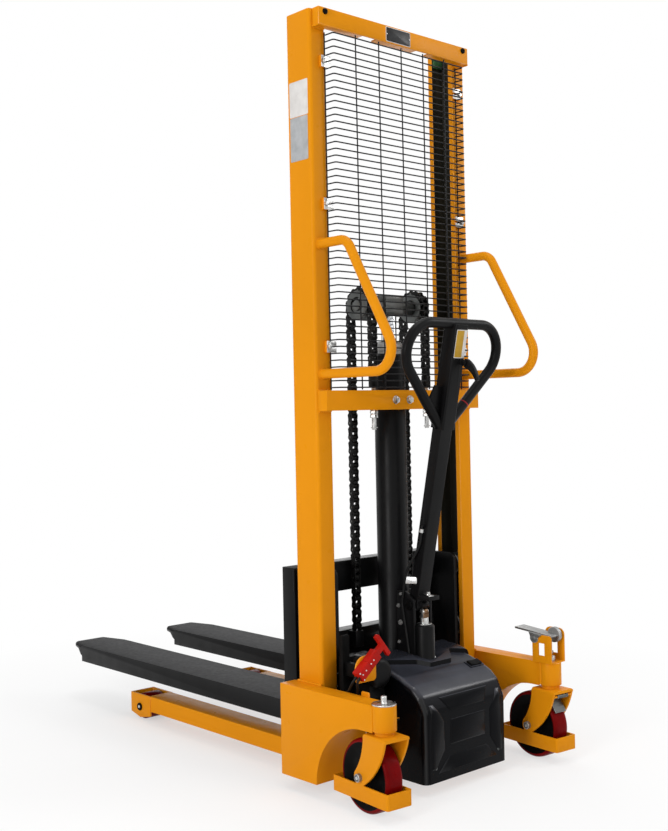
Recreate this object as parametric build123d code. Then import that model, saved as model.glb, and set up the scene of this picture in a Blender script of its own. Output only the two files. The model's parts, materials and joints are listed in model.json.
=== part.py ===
from build123d import *
import math
import os

# Clearances between pieces
running_gap = 0.05
side_gap = 0.3
bolt_gap = 0.1

# Mast channels
mast_width = 596.0
mast_depth = 94.0
mast_flange = 52.0
mast_web = 8.0
mast_lip = 16.0
mast_corner = 10.0
mast_top = 2008.0

# Crossbars of the mast
top_bar_half = 287.0
top_bar_depth = 26.0
top_bar_height = 47.0
top_bar_wall = 5.0
mid_bar_half = 292.0
mid_bar_depth = 34.0
mid_bar_height = 52.0
mid_bar_bottom = 970.0
mid_bar_wall = 6.0
mid_bolt_places = (-44.0, 9.0)
mid_bolt_radius = 5.0
mid_bolt_head = 17.0
mid_bolt_head_height = 6.4
buffer_radius = 8.0
buffer_height = 5.0
buffer_inset = 22.0

# Lift cylinder and ram
lift_y = 33.0
cylinder_radius = 43.0
cylinder_bore = 30.0
cylinder_top = 1120.0
cylinder_floor = 20.0
cylinder_foot_half = 60.0
cylinder_foot_thick = 6.0
gland_radius = 36.5
gland_height = 36.0
ram_radius = 22.5
ram_bottom = 300.0
piston_length = 40.0
crosshead_z = 1252.0
crosshead_half_width = 34.0
crosshead_half_depth = 27.0
crosshead_below = 26.0
crosshead_above = 32.0
crosshead_shaft = 14.0
crosshead_sleeve = 21.0

# Lift chains
chain_x = 102.0
chain_pitch = 19.05
chain_plate = 18.0
chain_waist = 11.0
chain_inner = 12.6
chain_plates_thick = 4.8
chain_roller = 5.95
chain_pin = 2.97
chain_pin_out = 1.2
pitch_radius = 41.5
wheel_flange_radius = 39.5
wheel_flange_thick = 4.0
wheel_recess_radius = 22.0
wheel_recess = 2.5
anchor_radius = 6.0
anchor_low = 917.0
anchor_nut = 19.0
anchor_nut_height = 10.0
clevis_width = 20.0
clevis_depth = 16.0
clevis_bottom = 1030.0
clevis_top = 1062.0
split_pin_radius = 1.5
split_pin_half = 11.0

# Carriage
carriage_half = 224.0
carriage_plate = 12.0
carriage_bar_depth = 44.0
carriage_bar_wall = 8.0
carriage_rear = 96.0
upper_bar_bottom = 482.0
upper_bar_top = 562.0
lower_bar_bottom = 280.0
lower_bar_top = 374.0
side_plate_rear = 12.0
side_plate_top = 556.0
side_plate_corner = 20.0
mast_roller_width = 36.0
mast_roller_axle = 12.0
mast_roller_collar = 18.0
upper_roller_z = 520.0
lower_roller_z = 345.0
chain_lug_half = 14.0
chain_lug_depth = 32.0
chain_lug_height = 42.0

# Forks
fork_outer = 530.0
fork_width = 155.0
fork_top = 193.0
fork_height = 53.0
fork_wall = 6.0
fork_tip = 1352.0
fork_taper = 1277.0
fork_nose_width = 112.0
fork_nose_thick = 20.0
fork_nose_round = 9.0
fork_nose_corner = 16.0
fork_side_end = 1268.0
fork_side_step = 18.0
shank_thick = 50.0
shank_top = 552.0

# Base
box_outer = 350.0
box_wall = 5.0
box_bottom = 34.0
box_top = 268.0
box_front = 105.0
arm_bottom = 203.0
arm_end = -236.0
arch_y = -200.0
arch_lining = 78.0
beam_bottom = 32.0
beam_top = 100.0
beam_wall = 8.0
tray_half = 150.0
tray_rear = -219.0
tray_thick = 8.0
leg_outer = 242.0
leg_width = 80.0
leg_top = 80.0
leg_wall = 5.0
leg_end = 893.0
tip_end = 994.0
tip_wall = 6.0
tip_low = 6.0
tip_front_low = 18.0
tip_rear_low = 17.0
tip_step = 3.0
tip_lap = 8.0
load_axle_y = 942.0
load_axle_radius = 10.0
load_axle_head = 15.0
load_axle_head_thick = 5.0
load_roller_radius = 40.0
load_roller_width = 62.0

# Swivel wheels
swivel_x = 321.0
swivel_y = -248.0
swivel_turn = -5.5
barrel_radius = 30.0
barrel_bottom = 206.0
pin_radius = 15.0
collar_radius = 24.0
caster_top = 197.0
caster_plate = 8.0
caster_half = 38.0
caster_rear = 47.0
caster_front = 36.0
caster_leg = 6.0
caster_trail = 51.0
caster_leg_end = 22.0
cheek_front_middle = (46.0, 141.0)
cheek_rear_middle = (-14.0, 122.0)
cheek_front_turn = math.radians(30.0)
cheek_rear_turn = math.radians(40.0)
wheel_radius = 90.0
wheel_width = 50.0
wheel_rim = 20.0
wheel_web = 26.0
wheel_hub = 22.0
wheel_hub_width = 60.0
wheel_axle = 8.0
wheel_axle_head = 24.0
wheel_axle_head_thick = 10.0
guard_low = 34.5
guard_height = 38.0
guard_thick = 4.0
guard_rear = 53.0
guard_front = 160.0
guard_corner = 5.5
cap_thick = 3.0
cap_bolt = 7.0
cap_bolt_height = 18.0

# Brake on the right swivel wheel
bracket_left = 289.0
bracket_right = 351.0
bracket_plate = 4.0
bracket_rear = -276.0
bracket_front = -213.0
bracket_left_top = 344.0
bracket_right_top = 358.0
bracket_left_round = 9.0
bracket_right_round = 17.0
window_rear = -254.0
window_front = -233.0
window_low = 288.0
window_high = 322.0
pedal_pivot_y = -221.0
pedal_pivot_z = 334.0
pedal_pin = 5.0
pedal_hub = 9.0
pedal_left = 295.0
pedal_right = 335.0
pedal_rear = -272.0
pedal_front = -148.0
pedal_rear_z = 345.0
pedal_front_z = 356.0
pedal_thick = 5.0
cam_drop = 7.0
cam_radius = 7.0
rod_radius = 6.0
rod_nut = 17.0
rod_nut_z = 290.0
rod_nut_height = 9.0
brake_hinge_y = -40.0
brake_hinge_z = 181.5
brake_hinge_pin = 3.5
brake_knuckle = 6.0
brake_tip_y = 6.0
brake_tip_z = 174.5
brake_plate_thick = 5.0
brake_plate_half = 20.0
brake_lip_root = -4.0
brake_lip_end = -33.0
brake_lip_low = 134.0
brake_lip_thick = 5.6

# Grab handles
handle_x = 274.0
handle_radius = 12.5
handle_top_z = 1401.0
handle_bottom_z = 1065.0
handle_knee_y = -100.0
handle_heel_y = -290.0
handle_knee_bend = 40.0
handle_heel_bend = 55.0

# Wire guard
wire_radius = 1.8
guard_top = 1945.0
guard_pitch = 17.6
guard_low_gap = 7.0
guard_left = 245.0
guard_right = 256.0
guard_depth = 34.0
guard_left_splay = 0.6
guard_right_splay = -4.0
guard_foot = 4.0
guard_bend = 6.0
guard_upright_pitch = 85.0
guard_upright_count = 5
wire_gap = 0.05
clip_wires = (4, 25, 46)
clip_width = 14.0
clip_height = 30.0
clip_depth = 9.0
clip_finger = 19.0
clip_finger_height = 12.0
clip_finger_thick = 2.7
clip_bolt = 5.5
clip_bolt_height = 5.0

# Tiller and hand pump
pivot_y = -60.0
pivot_z = 446.0
tiller_lean = 12.0
pivot_pin = 8.0
pivot_pin_head = 12.0
pivot_pin_head_thick = 5.0
tiller_boss = 17.0
tiller_boss_half = 22.0
shaft_width = 46.0
shaft_depth = 31.0
shaft_wall = 4.0
head_start = 482.0
head_width = 47.0
head_depth = 46.0
loop_height = 759.6
loop_start = 490.0
loop_start_x = 16.0
loop_corner_x = 269.0
loop_radius = 13.5
loop_bend = 74.0
nose_reach = 20.0
nose_radius = 9.0
nose_half = 13.0
yoke_rear = -118.0
yoke_low = 462.0
yoke_thick = 11.0
yoke_half = 20.0
lever_x = 16.0
lever_below_loop = 97.0
lever_stand = 11.0
lever_reach = 52.0
lever_drop = 37.0
lever_root = 11.0
lever_width = 10.0
lever_tip_width = 8.0
lever_pin = 3.0
lever_lug = 4.0
lever_lug_radius = 8.0
plate_inner = 27.0
plate_thick = 8.0
plate_rear = -76.0
plate_front = -14.0
plate_top = 482.0
plate_brace = 6.0
plate_brace_height = 60.0
pump_y = -80.0
pump_half = 48.0
pump_rear = -107.0
pump_front = -14.0
pump_block_top = 284.0
pump_radius = 27.0
pump_top = 395.0
pump_chamfer = 4.0
plunger_radius = 11.5
plunger_low = 330.0
plunger_shoulder = 412.0
plunger_cheek = 3.0
plunger_bore_floor = 305.0
pump_roller_radius = 9.0
pump_roller_half = 7.7
cam_gap = 0.4
cable_radius = 3.5
cable_x = -39.0

# Cover
cover_half = 157.0
cover_rear = -226.0
cover_front = -14.0
cover_bottom = 30.0
cover_wall = 4.0
cover_round = 18.0
cover_line = (
    (-226.0, 205.0), (-206.0, 246.0), (-182.0, 267.0), (-140.0, 285.0), (-69.0, 306.0), (-14.0, 312.0),
)
cover_bends = (40.0, 30.0, 60.0, 80.0, 80.0)
platform_rise = 12.0
platform_line = (
    (-157.0, -14.0), (-157.0, -62.0), (-50.0, -98.0), (-22.0, -124.0), (56.0, -124.0), (97.0, -77.0),
    (140.0, -96.0), (157.0, -96.0), (157.0, -14.0),
)
platform_bend = 14.0
switch_x = 116.0
switch_y = -150.0
switch_length = 44.0
switch_width = 20.0
switch_height = 14.0
switch_rise = 5.0

# Motor and connector
motor_x = -200.0
motor_z = 301.0
motor_radius = 39.5
motor_rear = -123.0
motor_front = -30.0
motor_round = 18.0
motor_foot = 8.0
motor_foot_low = 232.0
tank_left = -250.0
tank_right = -160.0
tank_rear = -40.0
tank_front = -12.0
tank_top = 338.0
tower_left = -270.0
tower_right = -246.0
tower_rear = -50.0
tower_front = -38.0
tower_top = 398.0
tank_edge = 4.0
connector_plate_left = -299.0
connector_plate_right = -228.0
connector_plate_low = 292.0
connector_plate_high = 358.0
connector_plate_rear = -128.0
connector_plate_thick = 4.0
connector_plate_dome = 30.0
connector_arm_left = -264.0
connector_arm_right = -247.0
connector_arm_low = 296.0
connector_arm_high = 330.0
connector_tab_rear = -173.0
connector_tab_front = -145.0
connector_tab_low = 250.0
connector_tab_high = 279.0
connector_tab_thick = 4.0
connector_corner = 10.0
connector_lean = 51.0
connector_start_x = -302.0
connector_start_z = 312.0
connector_half_length = 40.0
connector_width = 30.0
connector_depth = 24.0
connector_stem = 21.0
connector_stem_width = 16.0
connector_bar = 66.0
connector_bar_thick = 12.0
lead_radius = 3.5
lead_depth = 6.0
lead_runs = (
    ((-290.0, -100.0, 262.0), (-262.0, -62.0, 255.0)),
    ((-290.0, -128.0, 270.0), (-284.0, -95.0, 250.0), (-252.0, -62.0, 247.0)),
)
lead_bend = 9.0

# Derived positions
mast_half = mast_width / 2
lip_inner = mast_half - mast_flange
web_inner = mast_half - mast_web
channel_gap = mast_depth - 2 * mast_lip
channel_y = mast_depth / 2
mast_roller_radius = channel_gap / 2 - side_gap
chain_half = chain_inner / 2 + chain_plates_thick
chain_rear_y = lift_y - pitch_radius
chain_front_y = lift_y + pitch_radius
wheel_half = chain_half + chain_pin_out + 0.7 + wheel_flange_thick
wheel_groove = pitch_radius - chain_plate / 2 - side_gap
carriage_front = carriage_rear + carriage_bar_depth
shank_front = carriage_front + shank_thick
fork_left_x = -fork_outer / 2
fork_right_x = fork_left_x + fork_width
leg_inner = leg_outer - leg_width
tip_inner = leg_inner - tip_step
tip_outer = leg_outer + tip_step
caster_collar_top = barrel_bottom - side_gap
roller_centre_z = pivot_z - nose_radius - pump_roller_radius - cam_gap
arch_radius = arm_bottom - box_bottom
guard_rows = int((guard_top - mid_bar_bottom - mid_bar_height - guard_low_gap) / guard_pitch) + 1
platform_top = cover_line[-1][1] + platform_rise
rod_top = pedal_pivot_z - cam_drop - cam_radius - side_gap
brake_slope = (brake_hinge_z - brake_tip_z) / (brake_tip_y - brake_hinge_y)
brake_top_at_rod = brake_tip_z + brake_slope * brake_tip_y + brake_plate_thick / 2
rod_bottom = brake_top_at_rod + brake_slope * rod_radius + side_gap + 0.4


def block(x0, x1, y0, y1, z0, z1):
    """Box between two corners."""
    centre = ((x0 + x1) / 2, (y0 + y1) / 2, (z0 + z1) / 2)
    return Pos(*centre) * Box(abs(x1 - x0), abs(y1 - y0), abs(z1 - z0))


def rod_x(radius, x0, x1, y, z):
    """Round bar along X."""
    return Pos((x0 + x1) / 2, y, z) * Rot(0, 90, 0) * Cylinder(radius, abs(x1 - x0))


def rod_y(radius, x, y0, y1, z):
    """Round bar along Y."""
    return Pos(x, (y0 + y1) / 2, z) * Rot(90, 0, 0) * Cylinder(radius, abs(y1 - y0))


def rod_z(radius, x, y, z0, z1):
    """Round bar along Z."""
    return Pos(x, y, (z0 + z1) / 2) * Cylinder(radius, abs(z1 - z0))


def side_shape(points, x0, x1):
    """Outline in the side view, pushed from x0 to x1."""
    outline = Polyline(*[(x0, y, z) for y, z in points], close=True)
    return extrude(make_face(outline), amount=abs(x1 - x0), dir=(1, 0, 0))


def plan_shape(points, z0, z1):
    """Outline in the plan view, pushed from z0 to z1."""
    outline = Polyline(*[(x, y, z0) for x, y in points], close=True)
    return extrude(make_face(outline), amount=z1 - z0, dir=(0, 0, 1))


def hexagon_y(width, x, y0, y1, z):
    """Hexagon head along Y."""
    head = extrude(RegularPolygon(width / math.sqrt(3), 6), amount=abs(y1 - y0))
    return Pos(x, max(y0, y1), z) * Rot(90, 0, 0) * head


def hexagon_z(width, x, y, z0, z1):
    """Hexagon nut along Z."""
    return Pos(x, y, z0) * extrude(RegularPolygon(width / math.sqrt(3), 6), amount=z1 - z0)


def hexagon_x(width, x0, x1, y, z):
    """Hexagon head along X."""
    head = extrude(RegularPolygon(width / math.sqrt(3), 6), amount=abs(x1 - x0))
    return Pos(min(x0, x1), y, z) * Rot(0, 90, 0) * head


def tube(points, bends, radius):
    """Round tube along straight runs joined by arcs."""
    if len(points) > 2:
        path = FilletPolyline(*points, radius=bends)
    else:
        path = Line(*points)
    start = Plane(origin=path @ 0, z_dir=path % 0)
    return sweep(start * Circle(radius), path=path)


def other_side(shape):
    """The same piece on the other side of the machine."""
    return mirror(shape, about=Plane.YZ)


# Mast channels
def make_upright():
    body = block(lip_inner, mast_half, 0, mast_depth, beam_top, mast_top)
    corners = body.edges().filter_by(Axis.Z).group_by(Axis.X)[-1]
    body = fillet(corners, mast_corner)
    return body - block(lip_inner - 1, web_inner, mast_lip, mast_depth - mast_lip, beam_top - 1, mast_top + 1)


right_upright = make_upright()
left_upright = other_side(right_upright)


# Top crossbar, open towards the front
def make_top_crossbar():
    low = mast_top - top_bar_height
    bar = block(-top_bar_half, top_bar_half, -top_bar_depth, 0, low, mast_top)
    inside = top_bar_half - top_bar_wall
    rear = -top_bar_depth + top_bar_wall
    bar -= block(-inside, inside, rear, 1, low + top_bar_wall, mast_top - top_bar_wall)
    notch = wheel_half + 8
    for x in (-chain_x, chain_x):
        bar -= block(x - notch, x + notch, rear, 1, low - 1, low + top_bar_wall + 1)
    return bar


top_crossbar = make_top_crossbar()


# Middle crossbar, open towards the front and cut for the cylinder
def make_mid_crossbar():
    top = mid_bar_bottom + mid_bar_height
    bar = block(-mid_bar_half, mid_bar_half, -mid_bar_depth, 0, mid_bar_bottom, top)
    inside = mid_bar_half - mid_bar_wall
    rear = -mid_bar_depth + mid_bar_wall
    bar -= block(-inside, inside, rear, 1, mid_bar_bottom + mid_bar_wall, top - mid_bar_wall)
    bar -= rod_z(cylinder_radius + 1.5, 0, lift_y, mid_bar_bottom - 1, top + 1)
    for x in (-chain_x, chain_x):
        bar -= rod_z(anchor_radius + side_gap, x, chain_rear_y, mid_bar_bottom - 1, top + 1)
    for x in mid_bolt_places:
        bar -= rod_y(mid_bolt_radius + bolt_gap, x, -mid_bar_depth - 1, rear + 1, mid_bolt_z)
    return bar


mid_bolt_z = mid_bar_bottom + mid_bar_height / 2
mid_crossbar = make_mid_crossbar()


# Bolts of the crossbars
def make_crossbar_bolts():
    bolts = []
    nut_face = -mid_bar_depth + mid_bar_wall
    for x in mid_bolt_places:
        bolt = hexagon_y(mid_bolt_head, x, -mid_bar_depth - mid_bolt_head_height, -mid_bar_depth, mid_bolt_z)
        bolt += rod_y(mid_bolt_radius, x, -mid_bar_depth, nut_face, mid_bolt_z)
        bolt += hexagon_y(mid_bolt_head, x, nut_face, nut_face + mid_bolt_head_height, mid_bolt_z)
        bolts.append(bolt)
    for x in (-top_bar_half + buffer_inset, top_bar_half - buffer_inset):
        buffer_z = mast_top - buffer_radius - 3
        head = rod_y(buffer_radius, x, -top_bar_depth - buffer_height, -top_bar_depth, buffer_z)
        bolts.append(head)
    return Compound(children=bolts)


crossbar_bolts = make_crossbar_bolts()


# Grab handles
def make_handle():
    points = (
        (handle_x, 0, handle_top_z),
        (handle_x, handle_knee_y, handle_top_z),
        (handle_x, handle_heel_y, handle_bottom_z),
        (handle_x, 0, handle_bottom_z),
    )
    return tube(points, [handle_knee_bend, handle_heel_bend], handle_radius)


right_grab_handle = make_handle()
left_grab_handle = other_side(right_grab_handle)


# Wire guard
def make_wire_guard():
    wires = []
    left_foot = -guard_left - guard_left_splay
    right_foot = guard_right + guard_right_splay
    for row in range(guard_rows):
        z = guard_top - row * guard_pitch
        points = (
            (left_foot, -guard_foot, z),
            (-guard_left, -guard_depth, z),
            (guard_right, -guard_depth, z),
            (right_foot, -guard_foot, z),
        )
        wires.append(tube(points, [guard_bend, guard_bend], wire_radius))
    low = guard_top - (guard_rows - 1) * guard_pitch
    behind = -guard_depth - 2 * wire_radius - wire_gap
    for i in range(guard_upright_count):
        x = guard_upright_pitch * (i - (guard_upright_count - 1) / 2)
        wires.append(rod_z(wire_radius, x, behind, low - 6, guard_top + 6))
    for x in (left_foot, right_foot):
        side = 2 * wire_radius + wire_gap
        wires.append(rod_z(wire_radius, x + math.copysign(side, x), -guard_foot, low - 6, guard_top + 6))
    return Compound(children=wires)


wire_guard = make_wire_guard()


# Clips that hold the guard to the uprights
def make_guard_clips():
    clips = []
    reach = 3 * wire_radius + wire_gap + 0.5
    half = clip_height / 2
    for wire in clip_wires:
        z = guard_top - wire * guard_pitch
        for side in (-1, 1):
            foot = guard_left + guard_left_splay if side < 0 else guard_right + guard_right_splay
            start = foot + reach
            tab = block(side * start, side * (start + clip_width), -clip_depth, 0, z - half, z + half)
            for low in (z - guard_pitch / 2, z + guard_pitch / 2):
                tab += block(
                    side * (start - clip_finger), side * (start + 1),
                    -clip_depth, clip_finger_thick - clip_depth,
                    low - clip_finger_height / 2, low + clip_finger_height / 2,
                )
            middle = side * (start + clip_width / 2)
            tab += rod_y(clip_bolt, middle, -clip_depth - clip_bolt_height, -clip_depth, z)
            clips.append(tab)
    return Compound(children=clips)


guard_clips = make_guard_clips()


# Lift cylinder with its foot
def make_cylinder():
    foot_top = beam_top + cylinder_foot_thick
    body = rod_z(cylinder_radius, 0, lift_y, beam_top, cylinder_top)
    body += block(-cylinder_foot_half, cylinder_foot_half, 3, lift_y + cylinder_foot_half, beam_top, foot_top)
    return body - rod_z(cylinder_bore, 0, lift_y, beam_top + cylinder_floor, cylinder_top + 1)


lift_cylinder = make_cylinder()
cylinder_gland = rod_z(gland_radius, 0, lift_y, cylinder_top, cylinder_top + gland_height)
cylinder_gland = chamfer(cylinder_gland.edges().group_by(Axis.Z)[-1], 3)
cylinder_gland -= rod_z(ram_radius + running_gap, 0, lift_y, cylinder_top - 1, cylinder_top + gland_height + 1)
lift_ram = rod_z(ram_radius, 0, lift_y, ram_bottom, crosshead_z - crosshead_below)
lift_ram += rod_z(cylinder_bore - running_gap, 0, lift_y, ram_bottom, ram_bottom + piston_length)


# Crosshead with its shaft
def make_crosshead():
    head = block(
        -crosshead_half_width, crosshead_half_width,
        lift_y - crosshead_half_depth, lift_y + crosshead_half_depth,
        crosshead_z - crosshead_below, crosshead_z + crosshead_above,
    )
    head = fillet(head.edges().filter_by(Axis.X), 10)
    sleeve = chain_x - wheel_half - 1
    head += rod_x(crosshead_sleeve, -sleeve, sleeve, lift_y, crosshead_z)
    reach = chain_x + wheel_half + 1
    return head + rod_x(crosshead_shaft, -reach, reach, lift_y, crosshead_z)


crosshead = make_crosshead()


# Chain wheels
def make_chain_wheel():
    wheel = rod_x(wheel_flange_radius, chain_x - wheel_half, chain_x + wheel_half, lift_y, crosshead_z)
    groove = wheel_half - wheel_flange_thick
    ring = rod_x(wheel_flange_radius + 5, chain_x - groove, chain_x + groove, lift_y, crosshead_z)
    ring -= rod_x(wheel_groove, chain_x - groove - 1, chain_x + groove + 1, lift_y, crosshead_z)
    wheel -= ring
    for side in (-1, 1):
        face = chain_x + side * wheel_half
        wheel -= rod_x(wheel_recess_radius, face - wheel_recess, face + wheel_recess, lift_y, crosshead_z)
    return wheel - rod_x(crosshead_shaft + running_gap, 0, 2 * chain_x, lift_y, crosshead_z)


right_chain_wheel = make_chain_wheel()
left_chain_wheel = other_side(right_chain_wheel)


# Straight run of roller chain
def make_chain_run(y, z_low, z_high, first_pin):
    count = int((z_high - z_low - first_pin) / chain_pitch) + 1
    pins = [z_low + first_pin + chain_pitch * i for i in range(count)]
    outline = block(0, chain_plates_thick, y - chain_waist / 2, y + chain_waist / 2, z_low, z_high)
    rounds = [rod_x(chain_plate / 2, 0, chain_plates_thick, y, z) for z in pins[1:-1]]
    plate = outline + rounds
    run = Pos(chain_x + chain_inner / 2, 0, 0) * plate
    run += Pos(chain_x - chain_half, 0, 0) * plate
    half = chain_inner / 2
    rollers = [rod_x(chain_roller, chain_x - half, chain_x + half, y, z) for z in pins[1:-1]]
    reach = chain_half + chain_pin_out
    heads = []
    for z in pins[1:-1]:
        heads.append(rod_x(chain_pin, chain_x - reach, chain_x - chain_half, y, z))
        heads.append(rod_x(chain_pin, chain_x + chain_half, chain_x + reach, y, z))
    return run + rollers + heads


# Chain wrapped over the wheel
def make_chain_wrap():
    inner = pitch_radius - chain_waist / 2
    outer = pitch_radius + chain_waist / 2
    wrap = None
    for x in (chain_x - chain_half, chain_x + chain_inner / 2):
        plate = rod_x(outer, x, x + chain_plates_thick, lift_y, crosshead_z)
        plate -= rod_x(inner, x - 1, x + chain_plates_thick + 1, lift_y, crosshead_z)
        wrap = plate if wrap is None else wrap + plate
    step = 2 * math.asin(chain_pitch / 2 / pitch_radius)
    reach = chain_half + chain_pin_out
    for i in range(7):
        angle = math.pi / 2 + (i - 3) * step
        y = lift_y + pitch_radius * math.cos(angle)
        z = crosshead_z + pitch_radius * math.sin(angle)
        wrap += rod_x(chain_roller, chain_x - chain_half, chain_x + chain_half, y, z)
        wrap += rod_x(chain_pin, chain_x - reach, chain_x + reach, y, z)
        for x in (chain_x - chain_half, chain_x + chain_inner / 2):
            wrap += rod_x(chain_plate / 2, x, x + chain_plates_thick, y, z)
    reach = pitch_radius + chain_plate
    return wrap - block(0, 2 * chain_x, lift_y - reach, lift_y + reach, crosshead_z - reach, crosshead_z)


lug_top = lower_bar_top - 2
lift_run = make_chain_run(chain_front_y, lug_top + side_gap, crosshead_z, 4.0) + make_chain_wrap()
lift_chain_runs = Compound(children=[other_side(lift_run), lift_run])
anchor_run = make_chain_run(chain_rear_y, clevis_top + side_gap, crosshead_z - 2 * side_gap, 4.0)
anchor_chain_runs = Compound(children=[other_side(anchor_run), anchor_run])


# Threaded chain anchors
def make_chain_anchor():
    anchor = rod_z(anchor_radius, chain_x, chain_rear_y, anchor_low, clevis_bottom)
    half = clevis_width / 2
    anchor += block(
        chain_x - half, chain_x + half,
        chain_rear_y - clevis_depth / 2, chain_rear_y + clevis_depth / 2,
        clevis_bottom, clevis_top,
    )
    first = mid_bar_bottom - anchor_nut_height
    second = first - anchor_nut_height - 1
    anchor += hexagon_z(anchor_nut, chain_x, chain_rear_y, first, mid_bar_bottom)
    anchor += hexagon_z(anchor_nut, chain_x, chain_rear_y, second, second + anchor_nut_height)
    pin_z = anchor_low + 6
    pin = rod_x(split_pin_radius, chain_x - split_pin_half, chain_x + split_pin_half, chain_rear_y, pin_z)
    return anchor + pin


right_anchor = make_chain_anchor()
chain_anchors = Compound(children=[other_side(right_anchor), right_anchor])


# Carriage frame
def hollow_bar(z_low, z_high):
    bar = block(-carriage_half, carriage_half, carriage_rear, carriage_front, z_low, z_high)
    wall = carriage_bar_wall
    return bar - block(
        -carriage_half - 1, carriage_half + 1,
        carriage_rear + wall, carriage_front - wall, z_low + wall, z_high - wall,
    )


def make_carriage_side():
    outer = carriage_half + carriage_plate
    plate = block(carriage_half, outer, side_plate_rear, carriage_front, lower_bar_bottom, side_plate_top)
    rear_edges = plate.edges().filter_by(Axis.X).group_by(Axis.Y)[0]
    plate = fillet(rear_edges, side_plate_corner)
    for z in (upper_roller_z, lower_roller_z):
        plate += rod_x(mast_roller_collar, outer, mast_roller_inner - side_gap, channel_y, z)
        plate += rod_x(mast_roller_axle, outer, mast_roller_outer - 2, channel_y, z)
    return plate


mast_roller_outer = web_inner - 4
mast_roller_inner = mast_roller_outer - mast_roller_width


def make_carriage():
    frame = hollow_bar(upper_bar_bottom, upper_bar_top) + hollow_bar(lower_bar_bottom, lower_bar_top)
    side = make_carriage_side()
    frame = frame + side + other_side(side)
    for x in (-chain_x, chain_x):
        frame += block(
            x - chain_lug_half, x + chain_lug_half,
            carriage_rear - chain_lug_depth, carriage_rear, lug_top - chain_lug_height, lug_top,
        )
    return frame


carriage_frame = make_carriage()


# Mast rollers, one pair on each axle line
def make_roller_pair(z):
    roller = rod_x(mast_roller_radius, mast_roller_inner, mast_roller_outer, channel_y, z)
    roller = chamfer(roller.edges().filter_by(GeomType.CIRCLE), 2)
    roller -= rod_x(mast_roller_axle + running_gap, mast_roller_inner - 1, mast_roller_outer + 1, channel_y, z)
    return Compound(children=[other_side(roller), roller])


upper_mast_rollers = make_roller_pair(upper_roller_z)
lower_mast_rollers = make_roller_pair(lower_roller_z)


# Forks
def fork_plan(inset):
    middle = (fork_left_x + fork_right_x) / 2
    nose = fork_nose_width / 2
    return (
        (fork_left_x + inset, carriage_front - (inset and 1)),
        (fork_left_x + inset, fork_taper - inset * 0.5),
        (middle - nose + inset, fork_tip - inset),
        (middle + nose - inset, fork_tip - inset),
        (fork_right_x - inset, fork_taper - inset * 0.5),
        (fork_right_x - inset, carriage_front - (inset and 1)),
    )


def make_fork():
    low = fork_top - fork_height
    under = fork_top - fork_nose_thick
    start = fork_side_end - fork_wall
    fork = plan_shape(fork_plan(0), low, fork_top)
    corners = fork.edges().filter_by(Axis.Z).group_by(Axis.Y)[-1]
    fork = fillet(corners, fork_nose_corner)
    space = plan_shape(fork_plan(fork_wall), low - 1, fork_top - fork_wall)
    fork -= space & block(fork_left_x, fork_right_x, carriage_front - 2, start, low - 2, fork_top)
    cut = (
        (fork_side_end, low - 1), (fork_side_end, low + fork_side_step), (fork_taper + fork_nose_thick, under),
        (fork_tip + 1, under), (fork_tip + 1, low - 1),
    )
    fork -= side_shape(cut, fork_left_x - 1, fork_right_x + 1)
    fork = fillet(fork.edges().filter_by(Axis.X).group_by(Axis.Y)[-1], fork_nose_round)
    shank = block(fork_left_x, fork_right_x, carriage_front, shank_front, fork_top - fork_wall, shank_top)
    return fork + shank


left_fork = make_fork()
right_fork = other_side(left_fork)


# Base boxes with wheel arch and rear arm
def box_outline(x, inset):
    low = box_bottom - (1 if inset else 0)
    start = Line((x, box_front - inset, low), (x, box_front - inset, box_top - inset))
    top = Line(start @ 1, (x, arm_end + inset, box_top - inset))
    end = Line(top @ 1, (x, arm_end + inset, arm_bottom + inset))
    under = Line(end @ 1, (x, arch_y, arm_bottom + inset))
    reach = arch_radius + inset
    corner = reach * math.sqrt(0.5)
    arch = ThreePointArc(
        under @ 1, (x, arch_y + corner, box_bottom + corner), (x, arch_y + reach, box_bottom)
    )
    lines = [start, top, end, under, arch]
    if inset:
        lines.append(Line(arch @ 1, (x, arch_y + reach, low)))
        lines.append(Line(lines[-1] @ 1, start @ 0))
    else:
        lines.append(Line(arch @ 1, start @ 0))
    return make_face(Wire(lines))


def make_base_box(lining_width):
    box = extrude(box_outline(mast_half, 0), amount=box_outer - mast_half, dir=(1, 0, 0))
    width = box_outer - mast_half - 2 * box_wall
    space = extrude(box_outline(mast_half + box_wall, box_wall), amount=width, dir=(1, 0, 0))
    box -= space
    if lining_width:
        inner = mast_half - lining_width
        lining = rod_x(arch_radius + box_wall, inner, mast_half, arch_y, box_bottom)
        lining -= rod_x(arch_radius, inner - 1, mast_half + 1, arch_y, box_bottom)
        far = arch_radius + box_wall + 1
        box += lining & block(inner - 1, mast_half + 1, arch_y, arch_y + far, box_bottom, box_bottom + far)
    return box - rod_z(barrel_radius, swivel_x, swivel_y, arm_bottom - 1, box_top + 1)


right_base_box = make_base_box(0)
left_base_box = other_side(make_base_box(arch_lining))


# Crossbeam with the tray under the cover
def make_crossbeam():
    beam = block(-mast_half, mast_half, 0, box_front, beam_bottom, beam_top)
    beam -= block(
        -mast_half - 1, mast_half + 1, beam_wall, box_front - beam_wall,
        beam_bottom + beam_wall, beam_top - beam_wall,
    )
    tray = block(-tray_half, tray_half, tray_rear, 0, beam_bottom + 4, beam_bottom + 4 + tray_thick)
    rear_edges = tray.edges().filter_by(Axis.Z).group_by(Axis.Y)[0]
    return beam + fillet(rear_edges, cover_round)


base_crossbeam = make_crossbeam()
tray_top = beam_bottom + 4 + tray_thick


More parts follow.
